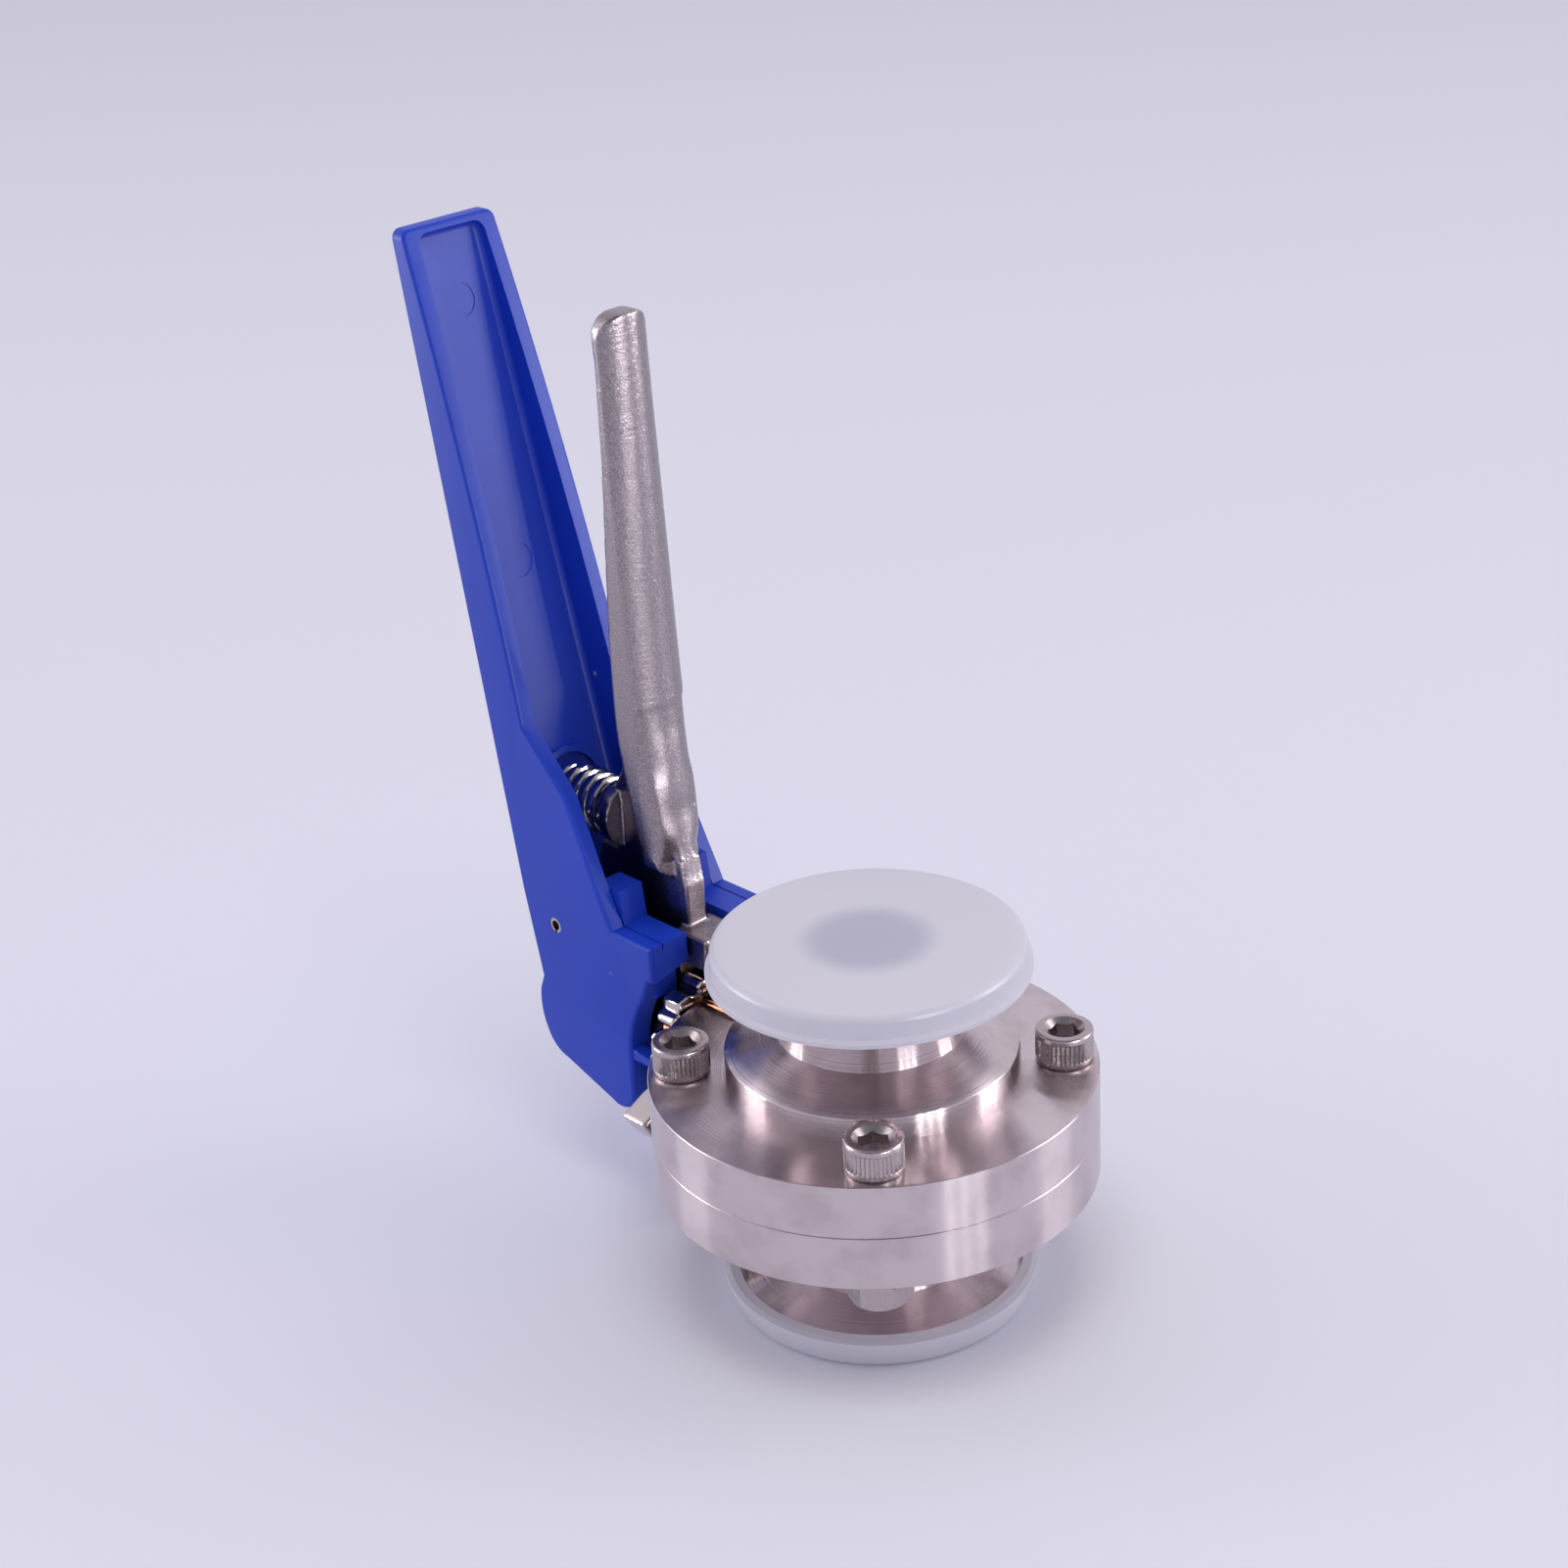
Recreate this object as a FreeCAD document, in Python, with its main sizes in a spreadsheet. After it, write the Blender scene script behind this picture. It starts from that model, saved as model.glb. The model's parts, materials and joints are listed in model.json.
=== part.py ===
import FreeCAD, Part
import math
import os
import re
import Sketcher

# Sanitary butterfly valve with 50.5 mm clamp ends and a squeeze-trigger handle.
# Millimetres, +Z up along the bore. The origin is on the valve axis at the rest face, which is
# the underside of the lower dust cap. The stem points to -X, and the handle stands up at its end.
# Each piece is drawn about the split plane between the two body halves, then raised to its place.

SIZES = {
    # body halves
    "face_to_face": 66.0,
    "bore_radius": 11.2,
    "flange_radius": 39.0,
    "flange_thickness": 9.85,
    "edge_break": 0.6,
    "hub_clearance": 1.7265,
    "hub_height": 14.4,
    "cone_angle": 20.0,
    "neck_radius": 16.5,
    "ferrule_radius": 25.25,
    "ferrule_rim": 2.85,
    "gasket_bead_radius": 21.8,
    "gasket_bead_half": 1.6,
    "gasket_bead_floor": 0.7,
    "gasket_bead_depth": 1.3,
    # liner, disc and stem
    "liner_radius": 17.0,
    "liner_half_height": 7.5,
    "disc_clearance": 0.15,
    "disc_half_thickness": 3.2,
    "disc_rim_half": 0.9,
    "stem_radius": 5.0,
    "bush_wall": 1.45,
    "running_fit": 0.05,
    "end_bush_length": 8.0,
    "square_size": 8.0,
    # fasteners
    "bolt_edge": 6.0,
    "bolt_diameter": 6.0,
    "bolt_hole_clearance": 0.3,
    "bolt_length": 25.0,
    "head_diameter": 10.0,
    "head_height": 6.0,
    "hex_key": 5.0,
    "key_depth": 3.0,
    "nut_width": 10.0,
    "nut_height": 5.0,
    # index plate
    "plate_gap": 0.2,
    "plate_thickness": 4.1,
    "plate_round": 0.5,
    "stem_clearance": 0.3,
    "ring_root_radius": 11.9,
    "tooth_height": 2.8,
    "tooth_width": 2.4,
    "tooth_length": 4.7,
    "tooth_root": 0.6,
    "tooth_tip_share": 0.55,
    "tooth_pitch": 18.0,
    "tooth_start": 72.0,
    "tooth_count": 8.0,
    "ear_thickness": 1.5,
    "ear_half_width": 10.0,
    "ear_overlap": 9.5,
    "ear_corner": 4.5,
    "lug_radius": 22.3,
    "lug_rise": 2.2,
    "lug_start": 207.0,
    "lug_stop": 300.0,
    # lever: a "set" is how far a front face lies behind the hub's inner face
    "lever_gap": 0.7,
    "hub_length": 14.0,
    "lever_hub_radius": 8.5,
    "web_thickness": 4.5,
    "grip_half_width": 5.3,
    "grip_taper": 0.3,
    "grip_crown": 1.6,
    "grip_bottom": 31.5,
    "grip_bottom_set": 2.2,
    "grip_bottom_depth": 5.0,
    "grip_waist": 56.0,
    "grip_waist_set": 4.8,
    "grip_waist_depth": 6.6,
    "grip_middle": 93.0,
    "grip_middle_set": 6.5,
    "grip_middle_depth": 4.2,
    "grip_top": 134.5,
    "grip_top_set": 7.6,
    "grip_top_depth": 3.0,
    "grip_top_corner": 4.0,
    "grip_bottom_corner": 2.6,
    "web_round": 0.6,
    "rib_height": 44.0,
    "rib_set": 3.4,
    "brow_height": 30.0,
    "brow_forward": 0.4,
    "foot_forward": 7.0,
    "foot_low": 16.0,
    "foot_high": 22.0,
    "foot_half_width": 4.5,
    "foot_root": 1.5,
    "back_step": 9.5,
    "web_top": 75.0,
    "web_top_set": 10.4,
    "saddle_height": 57.0,
    "saddle_set": 11.2,
    "saddle_radius": 60.0,
    "knee_rise": 47.9,
    "knee_set": 15.5,
    "pin_behind_hub": 9.6,
    "pin_height": 18.8,
    "boss_radius": 4.3,
    "boss_half_width": 4.9,
    "seat_ahead": 5.4,
    "seat_thickness": 2.2,
    "seat_rim": 1.0,
    "peg_length": 3.4,
    "peg_half": 3.4,
    "screw_diameter": 5.0,
    "screw_head_radius": 4.75,
    "screw_head_height": 3.0,
    "screw_head_edge": 0.8,
    "screw_crown_radius": 2.6,
    "screw_length": 12.0,
    "screw_key": 3.0,
    "screw_key_depth": 1.8,
    "washer_radius": 6.0,
    "washer_thickness": 1.2,
    # trigger: "behind" and "ahead" are measured from the pin's axis, heights from the stem's axis
    "trigger_width": 28.0,
    "trigger_top_width": 20.5,
    "taper_start": 24.0,
    "trigger_lean": 11.8,
    "back_behind": 4.0,
    "trigger_top": 142.9,
    "trigger_top_depth": 3.6,
    "trigger_wall": 3.0,
    "trigger_web": 1.8,
    "trigger_end_wall": 1.6,
    "trigger_round": 0.8,
    "top_corner": 1.8,
    "channel_corner": 2.2,
    "channel_round": 1.2,
    "channel_start": 15.5,
    "heel_top_height": 6.5,
    "heel_behind": 6.6,
    "heel_height": 3.5,
    "heel_radius": 14.0,
    "sole_behind": 5.0,
    "sole_height": -6.2,
    "sole_radius": 7.0,
    "arch_height": -9.6,
    "chin_ahead": 12.4,
    "chin_height": -13.7,
    "chin_radius": 4.2,
    "throat_ahead": 18.6,
    "throat_height": -10.8,
    "mouth_ahead": 18.9,
    "mouth_height": 0.5,
    "mouth_radius": 24.0,
    "jaw_ahead": 23.2,
    "jaw_height": 11.5,
    "lip_ahead": 23.9,
    "lip_height": 17.6,
    "beak_ahead": 26.5,
    "block_top": 23.0,
    "crook_ahead": 16.0,
    "knee_ahead": 5.0,
    "knee_height": 46.0,
    "hip_behind": 5.8,
    "hip_height": 56.5,
    "brim_radius": 800.0,
    "head_wall": 3.0,
    "cheek_inner": 9.2,
    "slot_half": 5.2,
    "block_low": 15.5,
    "block_back_ahead": 5.6,
    "rib_front_ahead": 15.1,
    "rib_back_ahead": 9.1,
    "rib_top": 29.5,
    "dog_root_ahead": 17.6,
    "dog_thickness": 2.4,
    "dog_side_gap": 0.6,
    "dog_drop": 1.0,
    "dog_height": 1.5,
    "dog_slope": 0.8,
    "dog_gap": 0.3,
    "ejector_radius": 3.25,
    "ejector_depth": 0.15,
    "ejector_low": 81.6,
    "ejector_high": 128.5,
    "pin_radius": 1.5,
    "pin_wall": 0.55,
    "pin_slit": 0.5,
    "pin_end_gap": 0.1,
    "spring_height": 38.8,
    "spring_radius": 5.1,
    "spring_play": 0.2,
    "spring_slack": 1.8,
    "spring_turns": 5.0,
    "wire_radius": 0.6,
    "collar_gap": 0.9,
    "collar_wall": 1.2,
    "collar_height": 1.2,
    # dust caps
    "cap_fit": 0.1,
    "cap_side_wall": 1.65,
    "cap_end_wall": 1.2,
    "cap_seat_gap": 0.05,
    "cap_depth": 5.55,
    "cap_bead": 0.95,
    "cap_bead_height": 1.5,
    "cap_bead_edge": 0.4,
}

doc = FreeCAD.newDocument("ButterflyValve")
sheet = doc.addObject("Spreadsheet::Sheet", "Sizes")
for row, (alias, number) in enumerate(SIZES.items(), start=1):
    sheet.set("A%d" % row, alias.replace("_", " "))
    sheet.set("B%d" % row, str(number))
    sheet.setAlias("B%d" % row, alias)
doc.recompute()

# Places that follow from the sizes.
SPLIT = "(face_to_face / 2 + cap_seat_gap + cap_end_wall)"
PLATE_FACE = "(flange_radius + plate_gap + plate_thickness)"
HUB_INNER = "(%s + lever_gap)" % PLATE_FACE
HUB_OUTER = "(%s + hub_length)" % HUB_INNER
PIN_X = "(%s + pin_behind_hub)" % HUB_OUTER
SEAT_X = "(%s - seat_ahead)" % PIN_X
BOLT_CIRCLE = "(flange_radius - bolt_edge)"
HUB_RADIUS = "(%s - nut_width / 2 / cos(30) - hub_clearance)" % BOLT_CIRCLE
BUSH_RADIUS = "(stem_radius + running_fit + bush_wall)"
FLOOR_START = "(channel_start * cos(trigger_lean))"
BOLT_ANGLES = (45, 135, 225, 315)
# How far an edge may lie from a plane it is looked for in, and the least volume a cut takes.
SAME_PLACE = 0.02
LEAST_CUT = 1e-4


def value(text):
    return float(sheet.evalExpression(str(text)))


def bound(text):
    # the same formula, with each size named as a cell of the sheet
    def cell(word):
        return "Sizes." + word.group(0) if word.group(0) in SIZES else word.group(0)
    return re.sub(r"[a-z_]+", cell, str(text))


def bind(thing, prop, text):
    thing.setExpression(prop, bound(text))


def new_body(name, height=SPLIT):
    body = doc.addObject("PartDesign::Body", name)
    body.Label = name
    bind(body, "Placement.Base.z", height)
    return body


def new_sketch(body, name, plane, shift=None):
    sketch = body.newObject("Sketcher::SketchObject", name)
    origin_plane = [item for item in body.Origin.OriginFeatures if item.Role == plane][0]
    sketch.AttachmentSupport = [(origin_plane, "")]
    sketch.MapMode = "FlatFace"
    if shift is not None:
        bind(sketch, "AttachmentOffset.Base.z", shift)
    return sketch


def hold(sketch, kind, *where):
    # one dimension of a sketch, held to a formula of the sheet
    *places, text = where
    number = sketch.addConstraint(Sketcher.Constraint(kind, *places, value(text)))
    sketch.setExpression("Constraints[%d]" % number, bound(text))


def arc_between(start, end, radius):
    # a plus radius swells to the right of the way from start to end, a minus one to the left
    chord = end - start
    side = FreeCAD.Vector(-chord.y, chord.x, 0).normalize()
    rise = math.sqrt(max(radius ** 2 - (chord.Length / 2) ** 2, 0.0))
    centre = (start + end) / 2 + side * math.copysign(rise, radius)
    circle = Part.Circle(centre, FreeCAD.Vector(0, 0, 1), abs(radius))
    angles = [math.atan2(p.y - centre.y, p.x - centre.x) for p in (start, end)]
    if radius < 0:
        angles.reverse()
    return Part.ArcOfCircle(circle, *angles)


def outline(sketch, corners):
    # a closed outline: each corner is (x, y), or (x, y, radius) where an arc leads to the next one
    first = sketch.GeometryCount
    points = [FreeCAD.Vector(value(c[0]), value(c[1]), 0) for c in corners]
    starts = []
    for i, corner in enumerate(corners):
        a, b = points[i], points[(i + 1) % len(points)]
        if len(corner) == 2:
            sketch.addGeometry(Part.LineSegment(a, b), False)
            starts.append((1, 2))
        else:
            radius = value(corner[2])
            sketch.addGeometry(arc_between(a, b, radius), False)
            starts.append((1, 2) if radius > 0 else (2, 1))
    for i, corner in enumerate(corners):
        following = (i + 1) % len(corners)
        sketch.addConstraint(Sketcher.Constraint("Coincident", first + i, starts[i][1],
                                                 first + following, starts[following][0]))
        hold(sketch, "DistanceX", -1, 1, first + i, starts[i][0], corner[0])
        hold(sketch, "DistanceY", -1, 1, first + i, starts[i][0], corner[1])
        if len(corner) == 3:
            hold(sketch, "Radius", first + i, "abs(%s)" % corner[2])


def circle(sketch, x, y, radius):
    number = sketch.addGeometry(Part.Circle(FreeCAD.Vector(value(x), value(y), 0),
                                            FreeCAD.Vector(0, 0, 1), value(radius)), False)
    hold(sketch, "DistanceX", -1, 1, number, 3, x)
    hold(sketch, "DistanceY", -1, 1, number, 3, y)
    hold(sketch, "Radius", number, radius)


def polygon(sketch, x, y, across_flats, sides=6, turn=0.0):
    reach = "(%s) / 2 / cos(%s)" % (across_flats, 180.0 / sides)
    spots = [turn + 360.0 * i / sides for i in range(sides)]
    outline(sketch, [("%s + %s * cos(%s)" % (x, reach, spot), "%s + %s * sin(%s)" % (y, reach, spot))
                     for spot in spots])


def pad(body, sketch, length, both=False, back=False):
    feature = body.newObject("PartDesign::Pad", sketch.Name + "_pad")
    feature.Profile = sketch
    bind(feature, "Length", length)
    feature.SideType = "Symmetric" if both else "One side"
    feature.Reversed = back
    doc.recompute()
    return feature


def pocket(body, sketch, length=None, both=False, back=False):
    # with no length the cut goes right through
    before = body.Shape.Volume
    feature = body.newObject("PartDesign::Pocket", sketch.Name + "_cut")
    feature.Profile = sketch
    feature.SideType = "Symmetric" if both else "One side"
    if length is None:
        feature.Type = "ThroughAll"
    else:
        bind(feature, "Length", length)
    feature.Reversed = back
    doc.recompute()
    if body.Shape.Volume > before - LEAST_CUT:
        raise ValueError(feature.Name + " cuts nothing")
    return feature


def turned(body, sketch, axis="V_Axis"):
    feature = body.newObject("PartDesign::Revolution", sketch.Name + "_turned")
    feature.Profile = sketch
    feature.ReferenceAxis = (sketch, [axis])
    feature.Angle = 360
    doc.recompute()
    return feature


def repeat(body, feature, axis, count, angle):
    pattern = body.newObject("PartDesign::PolarPattern", feature.Name + "_ring")
    pattern.Originals = [feature]
    origin_axis = [item for item in body.Origin.OriginFeatures if item.Role == axis][0]
    pattern.Axis = (origin_axis, [""])
    bind(pattern, "Occurrences", count)
    bind(pattern, "Angle", angle)
    body.Tip = pattern
    doc.recompute()
    return pattern


def edges_where(shape, test):
    return ["Edge%d" % i for i, edge in enumerate(shape.Edges, start=1) if test(edge)]


def fillet(body, feature, radius, test):
    names = edges_where(feature.Shape, test)
    if not names:
        raise ValueError(feature.Name + " has no edge to round")
    rounding = body.newObject("PartDesign::Fillet", feature.Name + "_round")
    rounding.Base = (feature, names)
    bind(rounding, "Radius", radius)
    doc.recompute()
    if "Invalid" in rounding.State:
        raise ValueError(rounding.Name + " can't be rounded")
    return rounding


def near(edge, x=None, y=None, z=None, mirrored=False):
    # whether the middle of an edge lies at the places given, or opposite to them
    spot = edge.CenterOfMass
    for found, wanted in ((spot.x, x), (spot.y, y), (spot.z, z)):
        if wanted is not None and abs((abs(found) if mirrored else found) - wanted) > SAME_PLACE:
            return False
    return True


def flat_at(edge, y=None, z=None, mirrored=False):
    # whether a whole edge lies in the plane at y or at z
    points = [vertex.Point for vertex in edge.Vertexes] + [edge.CenterOfMass]
    for place, wanted in (("y", y), ("z", z)):
        if wanted is None:
            continue
        for point in points:
            found = getattr(point, place)
            if abs((abs(found) if mirrored else found) - wanted) > SAME_PLACE:
                return False
    return True


def set_back(distance):
    # a place on the lever, measured back from the hub's inner face
    return "(-(%s) - (%s))" % (HUB_INNER, distance)


def ahead_of_pin(distance):
    return "(-(%s) + (%s))" % (PIN_X, distance)


def back_at(height, inset="0"):
    # the trigger's leaning back at a height, moved inwards by inset
    back = "(-(%s + back_behind) - (%s) * tan(trigger_lean) + (%s) / cos(trigger_lean))"
    return back % (PIN_X, height, inset)


def floor_at(height):
    return back_at(height, "trigger_web")


def channel_sketch(body, name):
    # a sketch on the trigger's leaning floor, drawn in width and height along the slope
    sketch = new_sketch(body, name, "YZ_Plane")
    sketch.AttachmentOffset = FreeCAD.Placement(FreeCAD.Vector(0, 0, 0),
                                                FreeCAD.Rotation(FreeCAD.Vector(-1, 0, 0), 10))
    bind(sketch, "AttachmentOffset.Base.z", floor_at("0"))
    bind(sketch, "AttachmentOffset.Rotation.Angle", "trigger_lean")
    return sketch


def on_floor(edge):
    # whether a whole edge lies in the plane of the trigger's floor
    base, slope = value(floor_at("0")), math.tan(math.radians(value("trigger_lean")))
    points = [vertex.Point for vertex in edge.Vertexes] + [edge.CenterOfMass]
    return all(abs(point.x - base + point.z * slope) < SAME_PLACE for point in points)


# The two body halves are one turned form: flange, hub, cone, neck and clamp ferrule.
def body_half(name, turned_over):
    body = new_body(name)
    section = new_sketch(body, name + "_section", "XZ_Plane")
    face = "face_to_face / 2"
    outline(section, [
        ("liner_radius", "0"),
        ("flange_radius - edge_break", "0"),
        ("flange_radius", "edge_break"),
        ("flange_radius", "flange_thickness - edge_break"),
        ("flange_radius - edge_break", "flange_thickness"),
        (HUB_RADIUS, "flange_thickness"),
        (HUB_RADIUS, "hub_height"),
        ("neck_radius", "hub_height + (%s - neck_radius) * tan(cone_angle)" % HUB_RADIUS),
        ("neck_radius", face + " - ferrule_rim - (ferrule_radius - neck_radius) * tan(cone_angle)"),
        ("ferrule_radius", face + " - ferrule_rim"),
        ("ferrule_radius", face + " - edge_break / 2"),
        ("ferrule_radius - edge_break / 2", face),
        ("gasket_bead_radius + gasket_bead_half", face),
        ("gasket_bead_radius + gasket_bead_floor", face + " - gasket_bead_depth"),
        ("gasket_bead_radius - gasket_bead_floor", face + " - gasket_bead_depth"),
        ("gasket_bead_radius - gasket_bead_half", face),
        ("bore_radius", face),
        ("bore_radius", "liner_half_height"),
        ("liner_radius", "liner_half_height"),
    ])
    turned(body, section)
    passage = new_sketch(body, name + "_passage", "YZ_Plane")
    circle(passage, "0", "0", BUSH_RADIUS)
    pocket(body, passage)
    blind = new_sketch(body, name + "_blind", "YZ_Plane")
    circle(blind, "0", "0", BUSH_RADIUS)
    pocket(body, blind, "liner_radius + end_bush_length", back=True)
    hole = new_sketch(body, name + "_hole", "XY_Plane")
    first = BOLT_ANGLES[0]
    circle(hole, "%s * cos(%d)" % (BOLT_CIRCLE, first), "%s * sin(%d)" % (BOLT_CIRCLE, first),
           "bolt_diameter / 2 + bolt_hole_clearance")
    drilled = pocket(body, hole, back=True)
    repeat(body, drilled, "Z_Axis", len(BOLT_ANGLES), 360)
    if turned_over:
        body.Placement.Rotation = FreeCAD.Rotation(FreeCAD.Vector(1, 0, 0), 180)
    return body


# Rubber liner between the halves, with the stem's two holes.
def seat_ring():
    body = new_body("seat_ring")
    section = new_sketch(body, "liner_section", "XZ_Plane")
    outline(section, [
        ("bore_radius", "-liner_half_height"),
        ("liner_radius", "-liner_half_height"),
        ("liner_radius", "liner_half_height"),
        ("bore_radius", "liner_half_height"),
    ])
    turned(body, section)
    holes = new_sketch(body, "liner_holes", "YZ_Plane")
    circle(holes, "0", "0", "stem_radius + running_fit")
    pocket(body, holes, both=True)
    return body


# Plain bearings: one open at both ends, one with a closed end.
def bush(name, profile):
    body = new_body(name)
    section = new_sketch(body, name + "_section", "XZ_Plane")
    outline(section, profile)
    turned(body, section, "H_Axis")
    return body


def stem_bush():
    inner, outer = "-(liner_radius + plate_gap)", "-(flange_radius - edge_break)"
    return bush("stem_bush", [
        (outer, "stem_radius + running_fit"),
        (inner, "stem_radius + running_fit"),
        (inner, BUSH_RADIUS),
        (outer, BUSH_RADIUS),
    ])


def end_bush():
    inner, outer = "liner_radius + plate_gap", "liner_radius + end_bush_length"
    floor = outer + " - bush_wall"
    return bush("end_bush", [
        (inner, "stem_radius + running_fit"),
        (floor, "stem_radius + running_fit"),
        (floor, "0"),
        (outer, "0"),
        (outer, BUSH_RADIUS),
        (inner, BUSH_RADIUS),
    ])


# Lens-shaped disc on its spindle, drawn open, with the flow passing both faces.
def disc_with_stem():
    body = new_body("disc_with_stem")
    rim = "bore_radius - disc_clearance"
    lens = new_sketch(body, "disc_lens", "XY_Plane")
    belly = "(bore_radius ^ 2 / (disc_half_thickness - disc_rim_half) / 2)"
    outline(lens, [
        ("0", "-disc_half_thickness", belly),
        (rim + " - disc_rim_half", "-disc_rim_half"),
        (rim, "0"),
        (rim + " - disc_rim_half", "disc_rim_half", belly),
        ("0", "disc_half_thickness"),
    ])
    turned(body, lens)
    spindle = new_sketch(body, "spindle_section", "XZ_Plane")
    tail = "liner_radius + end_bush_length - bush_wall - plate_gap"
    outline(spindle, [
        ("-(%s)" % HUB_INNER, "0"),
        (tail, "0"),
        (tail, "stem_radius - edge_break"),
        (tail + " - edge_break", "stem_radius"),
        ("bore_radius - 2 * disc_rim_half", "stem_radius"),
        ("disc_half_thickness", "stem_radius - disc_rim_half"),
        ("-disc_half_thickness", "stem_radius - disc_rim_half"),
        ("-(bore_radius - 2 * disc_rim_half)", "stem_radius"),
        ("-(%s)" % HUB_INNER, "stem_radius"),
    ])
    turned(body, spindle, "H_Axis")
    square = new_sketch(body, "spindle_square", "YZ_Plane", "-%s + edge_break" % HUB_INNER)
    polygon(square, "0", "0", "square_size", 4, 45.0)
    pad(body, square, "hub_length", back=True)
    thread = new_sketch(body, "spindle_thread", "YZ_Plane", "-%s" % HUB_OUTER)
    circle(thread, "0", "0", "screw_diameter / 2")
    pocket(body, thread, "screw_length", back=True)
    return body


# M6 socket head screws and their nuts, four round the flange.
def cap_screw(number, angle):
    name = "cap_screw_%d" % number
    body = new_body(name)
    section = new_sketch(body, name + "_section", "XZ_Plane")
    top = "flange_thickness + head_height"
    outline(section, [
        ("0", "flange_thickness - bolt_length"),
        ("bolt_diameter / 2 - edge_break", "flange_thickness - bolt_length"),
        ("bolt_diameter / 2", "flange_thickness - bolt_length + edge_break"),
        ("bolt_diameter / 2", "flange_thickness"),
        ("head_diameter / 2", "flange_thickness"),
        ("head_diameter / 2", top + " - edge_break"),
        ("head_diameter / 2 - edge_break", top),
        ("0", top),
    ])
    turned(body, section)
    socket = new_sketch(body, name + "_socket", "XY_Plane", top)
    polygon(socket, "0", "0", "hex_key")
    pocket(body, socket, "key_depth")
    place_on_circle(body, angle)
    return body


def hex_nut(number, angle):
    name = "hex_nut_%d" % number
    body = new_body(name)
    flats = new_sketch(body, name + "_flats", "XY_Plane", "-flange_thickness")
    polygon(flats, "0", "0", "nut_width")
    circle(flats, "0", "0", "bolt_diameter / 2")
    pad(body, flats, "nut_height", back=True)
    place_on_circle(body, angle)
    return body


def place_on_circle(body, angle):
    bind(body, "Placement.Base.x", "%s * cos(%s)" % (BOLT_CIRCLE, angle))
    bind(body, "Placement.Base.y", "%s * sin(%s)" % (BOLT_CIRCLE, angle))
    body.Placement.Rotation = FreeCAD.Rotation(FreeCAD.Vector(0, 0, 1), angle)


# Cast plate that straddles the flanges: toothed ring for the trigger's dog, ears and lower lug.
def index_plate():
    body = new_body("index_plate")
    outer = "-" + PLATE_FACE
    inner = "-(flange_radius + plate_gap)"
    disc = new_sketch(body, "ring_disc", "YZ_Plane", outer)
    circle(disc, "0", "0", "ring_root_radius")
    pad(body, disc, "plate_thickness")
    # C shape of web and ears, drawn from the side
    bracket = new_sketch(body, "bracket_side", "XZ_Plane")
    low, high = "flange_thickness", "(flange_thickness + ear_thickness)"
    reach = "-(flange_radius - ear_overlap)"
    outline(bracket, [
        (outer, "-" + high),
        (reach, "-" + high),
        (reach, "-" + low),
        (inner, "-" + low),
        (inner, low),
        (reach, low),
        (reach, high),
        (outer, high),
    ])
    ears = pad(body, bracket, "2 * ear_half_width", both=True)
    end, side, top = value(reach), value("ear_half_width"), value(high)
    middle = value(inner + " - plate_gap")
    fillet(body, ears, "ear_corner",
           lambda edge: near(edge, x=end) and near(edge, y=side, mirrored=True))
    fillet(body, body.Tip, "plate_round",
           lambda edge: flat_at(edge, z=top, mirrored=True) and edge.CenterOfMass.x > middle)
    # quarter lug below, proud of the ring
    lug = new_sketch(body, "lug_sector", "YZ_Plane", "-(%s + lug_rise)" % PLATE_FACE)
    reach, root = "lug_radius", "(ring_root_radius - plate_round)"
    outline(lug, [
        (root + " * cos(lug_start)", root + " * sin(lug_start)"),
        (reach + " * cos(lug_start)", reach + " * sin(lug_start)", reach),
        (reach + " * cos(lug_stop)", reach + " * sin(lug_stop)"),
        (root + " * cos(lug_stop)", root + " * sin(lug_stop)", "-" + root),
    ])
    pad(body, lug, "lug_rise + plate_thickness - plate_gap")
    # one rounded tooth, repeated round the upper -Y quarter
    tooth = new_sketch(body, "tooth_outline", "YZ_Plane", outer)
    along = "cos(tooth_start)", "sin(tooth_start)"
    across = "-sin(tooth_start)", "cos(tooth_start)"
    root = "(ring_root_radius - tooth_root)"
    tip = "(ring_root_radius + tooth_height - tooth_width / 2)"
    spots = [(root, "-tooth_width / 2"), (tip, "-tooth_width / 2", "tooth_width * tooth_tip_share"),
             (tip, "tooth_width / 2"), (root, "tooth_width / 2")]
    outline(tooth, [("%s * %s + (%s) * (%s)" % (spot[0], along[0], spot[1], across[0]),
                     "%s * %s + (%s) * (%s)" % (spot[0], along[1], spot[1], across[1]), *spot[2:])
                    for spot in spots])
    cast = pad(body, tooth, "tooth_length")
    repeat(body, cast, "X_Axis", "tooth_count", "tooth_pitch * (tooth_count - 1)")
    passage = new_sketch(body, "plate_passage", "YZ_Plane")
    circle(passage, "0", "0", "stem_radius + stem_clearance")
    pocket(body, passage)
    return body


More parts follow.
